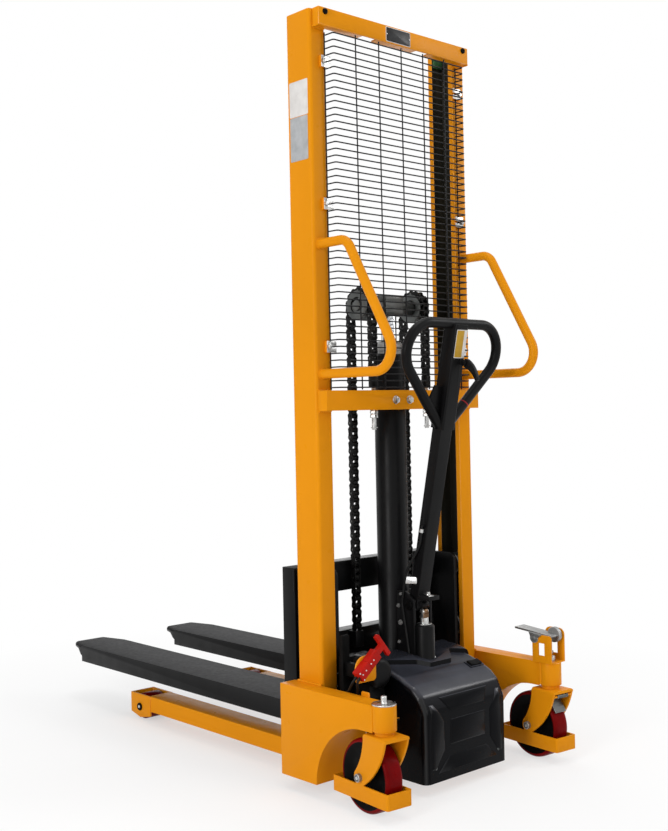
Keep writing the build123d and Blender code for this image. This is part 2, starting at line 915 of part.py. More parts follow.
# Legs with open tips for the load rollers
def make_leg():
    leg = block(leg_inner, leg_outer, box_front, leg_end, beam_bottom, leg_top)
    leg -= block(
        leg_inner + leg_wall, leg_outer - leg_wall, box_front - 1, leg_end + 1,
        beam_bottom + leg_wall, leg_top - leg_wall,
    )
    rear = leg_end - tip_lap
    side = (
        (rear, leg_top), (tip_end, leg_top), (tip_end, tip_front_low), (load_axle_y, tip_low),
        (rear, tip_rear_low),
    )
    for x in (tip_inner, tip_outer - tip_wall):
        cheek = side_shape(side, x, x + tip_wall)
        cheek -= rod_x(load_axle_radius + bolt_gap, x - 1, x + tip_wall + 1, load_axle_y, load_roller_radius)
        leg += cheek
    return leg + block(tip_inner, tip_outer, tip_end - tip_wall, tip_end, tip_front_low, leg_top)


right_leg = make_leg()
left_leg = other_side(right_leg)


# Load rollers and their axles
def make_load_axle():
    axle = rod_x(load_axle_radius, tip_inner, tip_outer, load_axle_y, load_roller_radius)
    for face, end in ((tip_outer, tip_outer + load_axle_head_thick), (tip_inner - load_axle_head_thick, tip_inner)):
        axle += rod_x(load_axle_head, face, end, load_axle_y, load_roller_radius)
    return axle


right_load_axle = make_load_axle()
load_axles = Compound(children=[other_side(right_load_axle), right_load_axle])


def make_load_roller():
    middle = (leg_inner + leg_outer) / 2
    half = load_roller_width / 2
    roller = rod_x(load_roller_radius, middle - half, middle + half, load_axle_y, load_roller_radius)
    roller = fillet(roller.edges().filter_by(GeomType.CIRCLE), 4)
    return roller - rod_x(load_axle_radius + running_gap, leg_inner, leg_outer, load_axle_y, load_roller_radius)


right_load_roller = make_load_roller()
left_load_roller = other_side(right_load_roller)


# Swivel barrels
def make_barrel():
    barrel = rod_z(barrel_radius, swivel_x, swivel_y, barrel_bottom, box_top)
    return barrel - rod_z(pin_radius + running_gap, swivel_x, swivel_y, barrel_bottom - 1, box_top + 1)


right_swivel_barrel = make_barrel()
left_swivel_barrel = other_side(right_swivel_barrel)


# Places of the two swivel wheels
def at_swivel(side):
    return Pos(side * swivel_x, swivel_y, 0) * Rot(0, 0, swivel_turn)


# Side plate of a caster fork, swept from the top plate to the rounded end at the axle
def caster_cheek(x):
    end = caster_leg_end
    front = (caster_trail + end * math.cos(cheek_front_turn), wheel_radius + end * math.sin(cheek_front_turn))
    rear = (caster_trail - end * math.cos(cheek_rear_turn), wheel_radius - end * math.sin(cheek_rear_turn))
    top = Line((x, -caster_rear, caster_top - 1), (x, caster_front, caster_top - 1))
    down = ThreePointArc(top @ 1, (x, *cheek_front_middle), (x, *front))
    below = (caster_trail + end * 0.5, wheel_radius - end * math.sqrt(0.75))
    around = ThreePointArc(down @ 1, (x, *below), (x, *rear))
    up = ThreePointArc(around @ 1, (x, *cheek_rear_middle), top @ 0)
    return make_face(Wire([top, down, around, up]))


# Caster fork with toe guard, drawn about its swivel axis
def make_caster_fork(pin_top):
    fork = rod_z(pin_radius, 0, 0, caster_top - caster_plate, pin_top)
    fork += rod_z(collar_radius, 0, 0, caster_top, caster_collar_top)
    fork += block(-caster_half, caster_half, -caster_rear, caster_front, caster_top - caster_plate, caster_top)
    for x in (-caster_half, caster_half - caster_leg):
        cheek = extrude(caster_cheek(x), amount=caster_leg, dir=(1, 0, 0))
        cheek -= rod_x(wheel_axle + bolt_gap, x - 1, x + caster_leg + 1, caster_trail, wheel_radius)
        fork += cheek
    strap = block(-caster_half, caster_half, -guard_rear, guard_front, guard_low, guard_low + guard_height)
    strap = fillet(strap.edges().filter_by(Axis.Z), guard_corner)
    inner = caster_half - guard_thick
    hollow = block(
        -inner, inner, -guard_rear + guard_thick, guard_front - guard_thick,
        guard_low - 1, guard_low + guard_height + 1,
    )
    hollow = fillet(hollow.edges().filter_by(Axis.Z), guard_corner - guard_thick)
    return fork + (strap - hollow)


def make_caster_axle():
    axle = rod_x(wheel_axle, -caster_half, caster_half, caster_trail, wheel_radius)
    reach = caster_half + wheel_axle_head_thick
    axle += hexagon_x(wheel_axle_head, -reach, -caster_half, caster_trail, wheel_radius)
    return axle + hexagon_x(wheel_axle_head, caster_half, reach, caster_trail, wheel_radius)


def make_caster_wheel():
    half = wheel_width / 2
    wheel = rod_x(wheel_radius, -half, half, caster_trail, wheel_radius)
    wheel = fillet(wheel.edges().filter_by(GeomType.CIRCLE), 6)
    for x0, x1 in ((-half - 1, -wheel_web / 2), (wheel_web / 2, half + 1)):
        wheel -= rod_x(wheel_radius - wheel_rim, x0, x1, caster_trail, wheel_radius)
    wheel += rod_x(wheel_hub, -wheel_hub_width / 2, wheel_hub_width / 2, caster_trail, wheel_radius)
    return wheel - rod_x(wheel_axle + running_gap, -wheel_hub_width, wheel_hub_width, caster_trail, wheel_radius)


left_pin_top = box_top + side_gap
left_caster_fork = at_swivel(-1) * make_caster_fork(left_pin_top)
left_caster_axle = at_swivel(-1) * make_caster_axle()
left_caster_wheel = at_swivel(-1) * make_caster_wheel()
right_caster_axle = at_swivel(1) * make_caster_axle()
right_caster_wheel = at_swivel(1) * make_caster_wheel()


def make_right_fork():
    fork = make_caster_fork(box_top - 1)
    fork -= rod_z(rod_radius + running_gap, 0, 0, caster_top - caster_plate - 1, box_top)
    return fork + rod_x(brake_hinge_pin, -caster_half + 1, caster_half - 1, brake_hinge_y, brake_hinge_z)


right_caster_fork = at_swivel(1) * make_right_fork()


# Cap on the left barrel
def make_swivel_cap():
    cap = rod_z(barrel_radius, 0, 0, left_pin_top, left_pin_top + cap_thick)
    cap += rod_z(cap_bolt, 0, 0, left_pin_top + cap_thick, left_pin_top + cap_thick + cap_bolt_height)
    return fillet(cap.edges().group_by(Axis.Z)[-1], 4)


left_swivel_cap = at_swivel(-1) * make_swivel_cap()


# Brake bracket
def make_brake_bracket():
    inner_left = bracket_left + bracket_plate
    inner_right = bracket_right - bracket_plate
    left = block(bracket_left, inner_left, bracket_rear, bracket_front, box_top, bracket_left_top)
    left = fillet(left.edges().filter_by(Axis.X).group_by(Axis.Z)[-1], bracket_left_round)
    right = block(inner_right, bracket_right, bracket_rear, bracket_front, box_top, bracket_right_top)
    right = fillet(right.edges().filter_by(Axis.X).group_by(Axis.Z)[-1], bracket_right_round)
    bracket = left + right
    bracket -= block(bracket_left - 1, bracket_right + 1, window_rear, window_front, window_low, window_high)
    base = block(bracket_left, bracket_right, bracket_rear, bracket_front, box_top, box_top + bracket_plate)
    base -= rod_z(rod_radius + 4, swivel_x, swivel_y, box_top - 1, box_top + bracket_plate + 1)
    bracket += base
    bracket += rod_x(pedal_pin, bracket_left - 5, bracket_right + 3, pedal_pivot_y, pedal_pivot_z)
    return bracket + rod_x(pedal_pin + 3, bracket_left - 4, bracket_left, pedal_pivot_y, pedal_pivot_z)


brake_bracket = make_brake_bracket()


# Brake pedal with its cam
def make_brake_pedal():
    inner_left = bracket_left + bracket_plate + side_gap
    inner_right = bracket_right - bracket_plate - side_gap
    plate = (
        (pedal_rear, pedal_rear_z - pedal_thick), (pedal_front, pedal_front_z - pedal_thick),
        (pedal_front, pedal_front_z), (pedal_rear, pedal_rear_z),
    )
    pedal = side_shape(plate, pedal_left, pedal_right)
    pedal += rod_x(pedal_hub, inner_left, inner_right, pedal_pivot_y, pedal_pivot_z)
    cam_z = pedal_pivot_z - cam_drop
    pedal += rod_x(cam_radius, swivel_x - 8, swivel_x + 8, swivel_y, cam_z)
    web = (
        (swivel_y - 5, cam_z), (swivel_y, cam_z - 4), (pedal_pivot_y, pedal_pivot_z - 6),
        (pedal_pivot_y + 6, pedal_pivot_z),
        (pedal_pivot_y + 6, pedal_front_z - 8), (swivel_y - 5, pedal_rear_z - 1),
    )
    pedal += side_shape(web, swivel_x - 8, swivel_x + 8)
    return pedal - rod_x(pedal_pin + running_gap, inner_left - 1, inner_right + 1, pedal_pivot_y, pedal_pivot_z)


brake_pedal = make_brake_pedal()
brake_rod = rod_z(rod_radius, swivel_x, swivel_y, rod_bottom, rod_top)
brake_rod += hexagon_z(rod_nut, swivel_x, swivel_y, rod_nut_z, rod_nut_z + rod_nut_height)


# Brake plate hinged under the right caster fork
def make_brake_plate():
    half = brake_plate_thick / 2
    inner = brake_lip_root
    outer = brake_lip_root - brake_lip_thick
    outline = (
        (brake_hinge_y - 3, brake_hinge_z + half), (brake_tip_y, brake_tip_z + half),
        (brake_tip_y, brake_tip_z - half),
        (inner, brake_hinge_z - half - brake_slope * (inner - brake_hinge_y)),
        (brake_lip_end, brake_lip_low), (brake_lip_end - 4, brake_lip_low + 3),
        (outer, brake_hinge_z - half - brake_slope * (outer - brake_hinge_y)),
        (brake_hinge_y - 3, brake_hinge_z - half),
    )
    plate = side_shape(outline, -brake_plate_half, brake_plate_half)
    plate += rod_x(brake_knuckle, -brake_plate_half, brake_plate_half, brake_hinge_y, brake_hinge_z)
    reach = brake_plate_half + 1
    return plate - rod_x(brake_hinge_pin + running_gap, -reach, reach, brake_hinge_y, brake_hinge_z)


brake_plate = at_swivel(1) * make_brake_plate()


# Hand pump body
def make_pump_body():
    body = block(-pump_half, pump_half, pump_rear, pump_front, tray_top, pump_block_top)
    barrel = rod_z(pump_radius, 0, pump_y, pump_block_top, pump_top)
    barrel = chamfer(barrel.edges().group_by(Axis.Z)[-1], pump_chamfer)
    return body + barrel - rod_z(plunger_radius + running_gap, 0, pump_y, plunger_bore_floor, pump_top + 1)


pump_body = make_pump_body()


# Pump plunger with its roller
def make_plunger():
    plunger = rod_z(plunger_radius, 0, pump_y, plunger_low, plunger_shoulder)
    outer = pump_roller_half + plunger_cheek
    plunger += block(-outer, outer, pump_y - 7, pump_y + 7, plunger_shoulder, roller_centre_z)
    plunger += rod_x(7, -outer, outer, pump_y, roller_centre_z)
    return plunger + rod_x(pump_roller_radius, -pump_roller_half, pump_roller_half, pump_y, roller_centre_z)


pump_plunger = make_plunger()


# Tiller bracket
def make_tiller_bracket():
    outer = plate_inner + plate_thick
    outline = (
        (plate_rear, pump_block_top), (plate_front, pump_block_top), (plate_front, plate_top),
        (plate_rear + 30, plate_top), (plate_rear, plate_top - 20),
    )
    bracket = side_shape(outline, plate_inner, outer)
    bracket += side_shape(outline, -outer, -plate_inner)
    bracket += block(
        -plate_inner, plate_inner, plate_front - plate_brace, plate_front,
        pump_block_top, pump_block_top + plate_brace_height,
    )
    return bracket - rod_x(pivot_pin + bolt_gap, -outer - 1, outer + 1, pivot_y, pivot_z)


tiller_bracket = make_tiller_bracket()


def make_pivot_pin():
    outer = plate_inner + plate_thick
    pin = rod_x(pivot_pin, -outer, outer, pivot_y, pivot_z)
    pin += rod_x(pivot_pin_head, outer, outer + pivot_pin_head_thick, pivot_y, pivot_z)
    return pin + rod_x(pivot_pin_head, -outer - pivot_pin_head_thick, -outer, pivot_y, pivot_z)


tiller_pivot_pin = make_pivot_pin()

# Frame of the leaning tiller: x across, y to the front, z along the shaft
tiller_place = Pos(0, pivot_y, pivot_z) * Rot(tiller_lean, 0, 0)
lever_y = -head_depth / 2 - lever_stand
lever_along = loop_height - lever_below_loop
lever_pivot = (tiller_place * Pos(0, lever_y, lever_along)).position
lever_pivot_y = lever_pivot.Y
lever_pivot_z = lever_pivot.Z


# Tiller with its loop
def make_tiller():
    half_w = shaft_width / 2
    half_d = shaft_depth / 2
    shaft = block(-half_w, half_w, -half_d, half_d, 0, head_start + 1)
    inner_w = half_w - shaft_wall
    inner_d = half_d - shaft_wall
    shaft -= block(-inner_w, inner_w, -inner_d, inner_d, tiller_boss + 6, head_start - 4)
    shaft = fillet(shaft.edges().filter_by(Axis.Z).group_by(SortBy.LENGTH)[-1], 3)
    head = block(-head_width / 2, head_width / 2, -head_depth / 2, head_depth / 2, head_start, loop_height)
    head = fillet(head.edges().filter_by(Axis.Z), 5)
    points = (
        (-loop_start_x, 0, loop_start), (-loop_corner_x, 0, loop_height),
        (loop_corner_x, 0, loop_height), (loop_start_x, 0, loop_start),
    )
    loop = tube(points, [loop_bend, loop_bend], loop_radius)
    tiller = tiller_place * (shaft + head + loop)
    tiller += rod_x(tiller_boss, -tiller_boss_half, tiller_boss_half, pivot_y, pivot_z)
    tiller += rod_x(nose_radius, -nose_half, nose_half, pivot_y - nose_reach, pivot_z)
    nose_low = pivot_z - nose_radius
    tiller += block(-nose_half, nose_half, pivot_y - nose_reach, pivot_y, nose_low, pivot_z + nose_radius)
    tiller += block(-yoke_half, yoke_half, yoke_rear, pivot_y, yoke_low, yoke_low + yoke_thick)
    inner = lever_width / 2 + side_gap
    for x in (lever_x - inner - lever_lug, lever_x + inner):
        lug = rod_x(lever_lug_radius, x, x + lever_lug, lever_y, lever_along)
        lug += block(x, x + lever_lug, lever_y, -head_depth / 2 + 6, lever_along - 7, lever_along + 7)
        tiller += tiller_place * lug
    tiller += tiller_place * rod_x(lever_pin, lever_x - inner - 1, lever_x + inner + 1, lever_y, lever_along)
    reach = tiller_boss_half + 2
    return tiller - rod_x(pivot_pin + running_gap, -reach, reach, pivot_y, pivot_z)


tiller = make_tiller()


# Finger lever
def make_finger_lever():
    half = lever_width / 2
    x = lever_x - half
    tip_y = lever_y - lever_reach
    tip_z = lever_along - lever_drop
    high = Line((x, lever_y, lever_along + lever_root), (x, lever_y - 8, lever_along + lever_root))
    crook = (x, lever_y - lever_reach * 0.72, lever_along - lever_drop * 0.28)
    outer = ThreePointArc(high @ 1, crook, (x, tip_y, tip_z))
    tip = Line(outer @ 1, (x, tip_y + lever_tip_width, tip_z - 2))
    hollow = (x, lever_y - lever_reach * 0.5, lever_along - lever_drop * 0.57)
    inner = ThreePointArc(tip @ 1, hollow, (x, lever_y, lever_along - lever_root))
    face = make_face(Wire([high, outer, tip, inner, Line(inner @ 1, high @ 0)]))
    lever = extrude(face, amount=lever_width, dir=(1, 0, 0))
    lever += rod_x(lever_lug_radius - 1, x, x + lever_width, lever_y, lever_along)
    lever -= rod_x(lever_pin + running_gap, x - 1, x + lever_width + 1, lever_y, lever_along)
    return tiller_place * lever


finger_lever = make_finger_lever()

# Release cable, the fixed run beside the bracket and the run on the tiller
release_cable = tube(
    (
        (cable_x, -48.0, plate_top + 28.0), (cable_x, -37.5, pivot_z + 6.0),
        (cable_x, -62.0, platform_top - 14.0),
    ),
    [150.0], cable_radius,
)
tiller_cable_x = -shaft_width / 2 - cable_radius - side_gap
tiller_cable = tiller_place * tube(
    (
        (tiller_cable_x, 0.0, 220.0), (tiller_cable_x, -2.0, 168.0), (tiller_cable_x - 12, 25.0, 84.0),
        (tiller_cable_x - 12, 26.0, 64.0),
    ),
    [80.0, 60.0], cable_radius,
)


# Moulded cover: a core in the side view, grown on all sides so that its edges come out round
def cover_body(grow):
    line = [(0, cover_rear, cover_bottom - 60)] + [(0, y, z) for y, z in cover_line]
    outline = FilletPolyline(*line, radius=list(cover_bends))
    last = outline @ 1
    far = cover_front + 60
    close = Polyline(last, (0, far, last.Z), (0, far, cover_bottom - 60), outline @ 0)
    face = offset(make_face(outline.edges() + close.edges()), -cover_round)
    core = extrude(face, amount=cover_half - cover_round, dir=(1, 0, 0), both=True)
    return offset(core, grow)


cover_outside = cover_body(cover_round)
cover_inside = cover_body(cover_round - cover_wall)


def platform_plan(inset):
    outline = make_face(Polyline(*[(x, y, 0) for x, y in platform_line], close=True))
    bends = [v for v in outline.vertices() if abs(v.X) < cover_half - 1]
    face = fillet(bends, platform_bend)
    if inset:
        face = offset(face, -inset)
    return extrude(face, amount=platform_top + 20, dir=(0, 0, 1))


def switch_frame():
    """Place of the rocker on the sloping top of the cover."""
    a = cover_line[2]
    b = cover_line[3]
    slope = math.degrees(math.atan2(b[1] - a[1], b[0] - a[0]))
    z = a[1] + (switch_y - a[0]) * (b[1] - a[1]) / (b[0] - a[0])
    return Pos(switch_x, switch_y, z) * Rot(slope, 0, 0)


def make_cover():
    raised = Pos(0, 0, platform_rise)
    hollow = cover_inside + (raised * cover_inside & platform_plan(cover_wall))
    cover = cover_outside + (raised * cover_outside & platform_plan(0)) - hollow
    cover &= block(-cover_half, cover_half, cover_rear, cover_front, cover_bottom, platform_top)
    reach = plate_inner + plate_thick + 2
    top = platform_top + 1
    cover -= block(-reach, reach, plate_rear - 2, cover_front + 1, pump_block_top - 20, top)
    cover -= rod_z(pump_radius + 2, 0, pump_y, pump_block_top - 20, top)
    cover -= rod_z(cable_radius + 1, cable_x, -61.0, pump_block_top - 20, top)
    place = switch_frame()
    rim_half_l = switch_length / 2 + 4
    rim_half_w = switch_width / 2 + 4
    cover += place * block(-rim_half_l, rim_half_l, -rim_half_w, rim_half_w, -3, 2.5)
    hole_l = switch_length / 2 + side_gap
    hole_w = switch_width / 2 + side_gap
    return cover - place * block(-hole_l, hole_l, -hole_w, hole_w, -20, 10)


base_cover = make_cover()


# Rocker switch
def make_rocker():
    half_l = switch_length / 2 - 1.5
    half_w = switch_width / 2
    top = switch_rise
    outline = Polyline(
        (-half_l, -half_w, -switch_height + 5), (-half_l, -half_w, top + 2.5), (0, -half_w, top),
        (half_l, -half_w, top + 2.5), (half_l, -half_w, -switch_height + 5), (0, -half_w, -switch_height),
        close=True,
    )
    return switch_frame() * extrude(make_face(outline), amount=switch_width, dir=(0, 1, 0))


rocker_switch = make_rocker()


# Motor of the lift
def make_motor():
    motor = rod_y(motor_radius, motor_x, motor_rear, motor_front, motor_z)
    motor = fillet(motor.edges().filter_by(GeomType.CIRCLE).group_by(Axis.Y)[0], motor_round)
    saddle_top = motor_z - motor_radius * 0.6
    foot_top = motor_foot_low + motor_foot
    motor += block(motor_x - 26, motor_x + 26, motor_rear + 22, motor_front, foot_top - 1, saddle_top)
    motor += block(-mast_half, motor_x + 30, motor_rear + 18, tank_front, motor_foot_low, foot_top)
    tank = block(tank_left, tank_right, tank_rear, tank_front, motor_foot_low, tank_top)
    tower = block(tower_left, tower_right, tower_rear, tower_front, motor_foot_low, tower_top)
    tank += fillet(tower.edges().group_by(Axis.Z)[-1], tank_edge)
    return motor + tank


power_unit = make_motor()


# Connector plate
def make_connector_plate():
    rear = connector_plate_rear
    front = rear + connector_plate_thick
    plate = block(
        connector_plate_left, connector_plate_right, rear, front, connector_plate_low, connector_plate_high
    )
    plate = fillet(plate.edges().filter_by(Axis.Y).group_by(Axis.Z)[-1], connector_plate_dome)
    plate = fillet(plate.edges().filter_by(Axis.Y).group_by(Axis.Z)[0], connector_corner)
    plate += block(
        connector_arm_left, connector_arm_right, front - 1, tower_rear, connector_arm_low, connector_arm_high
    )
    tab = block(
        -mast_half, connector_tab_thick - mast_half, connector_tab_rear, connector_tab_front,
        connector_tab_low, connector_tab_high,
    )
    return Compound(children=[plate, fillet(tab.edges().filter_by(Axis.X).group_by(Axis.Z)[-1], 5)])


connector_plate = make_connector_plate()
connector_place = Pos(connector_start_x, connector_plate_rear, connector_start_z) * Rot(0, connector_lean, 0)


# Fixed half and pull-out half of the connector, drawn along their own axis
def make_connector_housing():
    half = connector_width / 2
    housing = block(-half, half, -connector_depth, 0, 0, connector_half_length)
    return connector_place * fillet(housing.edges().filter_by(Axis.Z).group_by(Axis.Y)[0], 4)


def make_connector_plug():
    half = connector_width / 2
    low = connector_half_length + side_gap
    high = low + connector_half_length
    rear = -connector_depth
    front = -2.0
    plug = block(-half, half, rear, front, low, high)
    plug = fillet(plug.edges().filter_by(Axis.Z).group_by(Axis.Y)[0], 4)
    middle = (rear + front) / 2
    stem = connector_stem_width / 2
    grip = connector_bar_thick / 2
    plug += block(-stem, stem, middle - grip, middle + grip, high, high + connector_stem)
    top = high + connector_stem + connector_bar_thick
    bar = block(-connector_bar / 2, connector_bar / 2, middle - grip, middle + grip, high + connector_stem, top)
    return connector_place * (plug + bar)


connector_housing = make_connector_housing()
connector_plug = make_connector_plug()


# Battery leads from the fixed connector half, past the plate, to the tank
def make_leads():
    leads = []
    for depth, run in zip((lead_depth, 3 * lead_depth), lead_runs):
        start = (connector_place * Pos(0, -depth, -side_gap)).position
        out = (connector_place * Pos(0, -depth, -14)).position
        end = (run[-1][0], tower_rear - side_gap, run[-1][2])
        points = (tuple(start), tuple(out)) + run + (end,)
        leads.append(tube(points, [lead_bend] * (len(points) - 2), lead_radius))
    return Compound(children=leads)


battery_leads = make_leads()

pieces = {
    "left_upright": left_upright,
    "right_upright": right_upright,
    "top_crossbar": top_crossbar,
    "mid_crossbar": mid_crossbar,
    "crossbar_bolts": crossbar_bolts,
    "left_grab_handle": left_grab_handle,
    "right_grab_handle": right_grab_handle,
    "wire_guard": wire_guard,
    "guard_clips": guard_clips,
    "lift_cylinder": lift_cylinder,
    "cylinder_gland": cylinder_gland,
    "chain_anchors": chain_anchors,
    "anchor_chain_runs": anchor_chain_runs,
    "lift_chain_runs": lift_chain_runs,
    "lift_ram": lift_ram,
    "crosshead": crosshead,
    "left_chain_wheel": left_chain_wheel,
    "right_chain_wheel": right_chain_wheel,
    "carriage_frame": carriage_frame,
    "left_fork": left_fork,
    "right_fork": right_fork,
    "upper_mast_rollers": upper_mast_rollers,
    "lower_mast_rollers": lower_mast_rollers,
    "left_base_box": left_base_box,
    "right_base_box": right_base_box,
    "base_crossbeam": base_crossbeam,
    "left_leg": left_leg,
    "right_leg": right_leg,
    "load_axles": load_axles,
    "left_load_roller": left_load_roller,
    "right_load_roller": right_load_roller,
    "left_swivel_barrel": left_swivel_barrel,
    "right_swivel_barrel": right_swivel_barrel,
    "left_swivel_cap": left_swivel_cap,
    "left_caster_fork": left_caster_fork,
    "right_caster_fork": right_caster_fork,
    "left_caster_axle": left_caster_axle,
    "right_caster_axle": right_caster_axle,
    "left_caster_wheel": left_caster_wheel,
    "right_caster_wheel": right_caster_wheel,
    "brake_bracket": brake_bracket,
    "brake_pedal": brake_pedal,
    "brake_rod": brake_rod,
    "brake_plate": brake_plate,
    "pump_body": pump_body,
    "pump_plunger": pump_plunger,
    "tiller_bracket": tiller_bracket,
    "tiller_pivot_pin": tiller_pivot_pin,
    "tiller": tiller,
    "finger_lever": finger_lever,
    "release_cable": release_cable,
    "tiller_cable": tiller_cable,
    "base_cover": base_cover,
    "rocker_switch": rocker_switch,
    "power_unit": power_unit,
    "connector_plate": connector_plate,
    "connector_housing": connector_housing,
    "connector_plug": connector_plug,
    "battery_leads": battery_leads,
}

# Origin under the middle of the machine, on the floor
low_corner = [1e9, 1e9, 1e9]
high_corner = [-1e9, -1e9, -1e9]
for shape in pieces.values():
    limits = shape.bounding_box()
    low_corner = [min(a, b) for a, b in zip(low_corner, limits.min)]
    high_corner = [max(a, b) for a, b in zip(high_corner, limits.max)]
origin = (
    (low_corner[0] + high_corner[0]) / 2,
    (low_corner[1] + high_corner[1]) / 2,
    low_corner[2],
)

os.makedirs("parts", exist_ok=True)
for name, shape in pieces.items():
    export_step(Pos(-origin[0], -origin[1], -origin[2]) * shape, f"parts/{name}.step")
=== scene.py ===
"""Finished looks of a semi-electric stacker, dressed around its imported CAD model."""

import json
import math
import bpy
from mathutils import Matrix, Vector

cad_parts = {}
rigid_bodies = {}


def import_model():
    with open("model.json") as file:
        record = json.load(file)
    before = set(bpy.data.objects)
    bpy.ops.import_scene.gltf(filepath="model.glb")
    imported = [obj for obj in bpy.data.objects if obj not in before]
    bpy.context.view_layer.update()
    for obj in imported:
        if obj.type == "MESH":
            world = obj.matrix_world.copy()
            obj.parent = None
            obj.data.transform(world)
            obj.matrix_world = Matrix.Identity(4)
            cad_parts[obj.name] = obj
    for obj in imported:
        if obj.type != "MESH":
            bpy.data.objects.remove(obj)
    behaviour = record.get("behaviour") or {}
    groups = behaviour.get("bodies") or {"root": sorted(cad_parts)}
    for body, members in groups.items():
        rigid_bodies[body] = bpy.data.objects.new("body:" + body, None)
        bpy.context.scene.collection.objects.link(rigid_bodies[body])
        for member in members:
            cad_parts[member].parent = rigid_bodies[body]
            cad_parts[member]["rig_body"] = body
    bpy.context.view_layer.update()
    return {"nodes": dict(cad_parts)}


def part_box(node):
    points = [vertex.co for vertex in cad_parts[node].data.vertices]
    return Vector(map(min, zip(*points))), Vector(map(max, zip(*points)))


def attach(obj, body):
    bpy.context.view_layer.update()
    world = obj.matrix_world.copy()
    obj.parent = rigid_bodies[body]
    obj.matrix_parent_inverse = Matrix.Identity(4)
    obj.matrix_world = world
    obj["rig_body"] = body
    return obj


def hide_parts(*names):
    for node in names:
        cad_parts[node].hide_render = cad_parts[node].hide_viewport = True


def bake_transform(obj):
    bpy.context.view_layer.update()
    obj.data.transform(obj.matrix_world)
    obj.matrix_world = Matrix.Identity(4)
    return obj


bl_info = {
    "name": "Stacker Looks",
    "version": (1, 0, 0),
    "blender": (4, 5, 0),
    "location": "3D View > Sidebar > Stacker",
    "description": "Dresses the CAD model of a semi-electric stacker with paint, chains and small parts",
    "category": "Object",
}

import bmesh
import bpy
from bmesh.types import BMEdge, BMVert
from bpy.props import FloatProperty, FloatVectorProperty, IntProperty, PointerProperty
from bpy.types import NodeSocket, Operator, Panel, PropertyGroup
from mathutils import Matrix, Vector

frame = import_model()
NODES = frame["nodes"]

# Middle of the mast's rear face, from which the places below are counted in millimetres
LEFT_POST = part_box("left_upright")
RIGHT_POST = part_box("right_upright")
MAST_X = (LEFT_POST[0].x + RIGHT_POST[1].x) / 2
MAST_Y = LEFT_POST[0].y

# Directions and sides
LEFT = (-1, 0, 0)
RIGHT = (1, 0, 0)
REAR = (0, -1, 0)
FRONT = (0, 1, 0)
UP = (0, 0, 1)
SIDES = (("left", -1), ("right", 1))

# Places that several pieces share
LIFT_Y = 33.0
CROSSHEAD_Z = 1252.0
CHAIN_X = 102.0
SWIVEL_X = 321.0
SWIVEL_Y = -248.0
SWIVEL_TURN = math.radians(-5.5)
WHEEL_TRAIL = 51.0
WHEEL_RADIUS = 90.0
WHEEL_EXTRA_STEPS = 24
LOAD_X = 202.0
LOAD_Y = 942.0
LOAD_Z = 40.0
TILLER_PIVOT = (0.0, -60.0, 446.0)
TILLER_LEAN = math.radians(12.0)
PUMP_Y = -80.0
PUMP_ROLLER_Z = 427.6
HANDLE_X = 274.0
HANDLE_TOP = 1401.0
HANDLE_BOTTOM = 1065.0
HANDLE_ROUTE = ((0, HANDLE_TOP), (-100.0, HANDLE_TOP), (-290.0, HANDLE_BOTTOM), (0, HANDLE_BOTTOM))
HANDLE_BENDS = (40.0, 55.0)
HANDLE_RADIUS = 12.5
HANDLE_STEPS = 36
HANDLE_WELD = 12.6
TOP_PLATE_Z = 1984.5
CABLE_RADIUS = 3.5
HOUSING = (-302.0, -128.0, 312.0)
HOUSING_LEAN = math.radians(51.0)
RIVET_Y = -24.0
BAND_UP = 80.0

# Bend of the cover's rear, and the raised fields on it
COVER_UPRIGHT = 195.8
COVER_BEND = 40.0
COVER_SLOPE = math.radians(26.0)
COVER_RAISE = 2.8
COVER_CUTS = 7
COVER_CUT_STEP = 3.0
FIELD_EDGE = 0.6
FIELD_DRAFT = 5.0

# Limits of the faces that take a third finish: places in millimetres, and how far a fork's face looks up. The
# chain wheel, lining, tank and arm limits mark faces given painted shade, and the fork limit keeps the
# painted reflection of the fork tops off the flanks.
CHANNEL_ACROSS = 290.6
CHANNEL_REAR = 15.5
CHANNEL_FRONT = 78.5
CLIP_BOLT_Y = -8.9
CROSSHEAD_END_X = 119.5
RECESS_INNER = 13.9
RECESS_OUTER = 22.6
OILY_Z = 1000.0
FORK_TOP_NORMAL = 0.05
LINING_X = -297.5
LINING_Y = -198.0
LINING_Z = 214.0
BRAKE_PIN_X = 288.9
PUMP_ROLLER_HALF = 7.9
PUMP_ROLLER_BORE = 6.5
PUMP_ROLLER_DROP = 9.5
TANK_Y = -50.5
ARM_Y = -123.5
FAR = math.inf

# Radii that part the finishes of turned pieces
AXLE_CENTRE = 5.4
AXLE_RIM = 7.2
HUB_RADIUS = 14.2
CORE_RADIUS = 80.5
LOAD_CORE = 30.5

# Rounding of sheet edges as a share of the edge size
HEAVY_EDGE = 1.8
CASTER_EDGE = 1.7
BAR_EDGE = 1.6
FOLD_EDGE = 1.5
THIN_EDGE = 0.9

# Rounding of edges in metres, and the angle from which an edge counts as sharp
BROAD_ROUND = 0.0055
COVER_ROUND = 0.0022
TUBE_ROUND = 0.002
HOUSING_ROUND = 0.0018
SOFT_ROUND = 0.0015
PEDAL_ROUND = 0.0012
SMALL_ROUND = 0.001
FINE_ROUND = 0.0008
THREAD_ROUND = 0.0006
CLIP_ROUND = 0.0005
SHARP_DEGREES = 35.0
CHAIN_DEGREES = 40.0
FLAT_ANGLE = math.radians(0.5)
COPY_MERGE = 0.000004
TURN_MERGE = 0.000002
HAIR = 0.000002

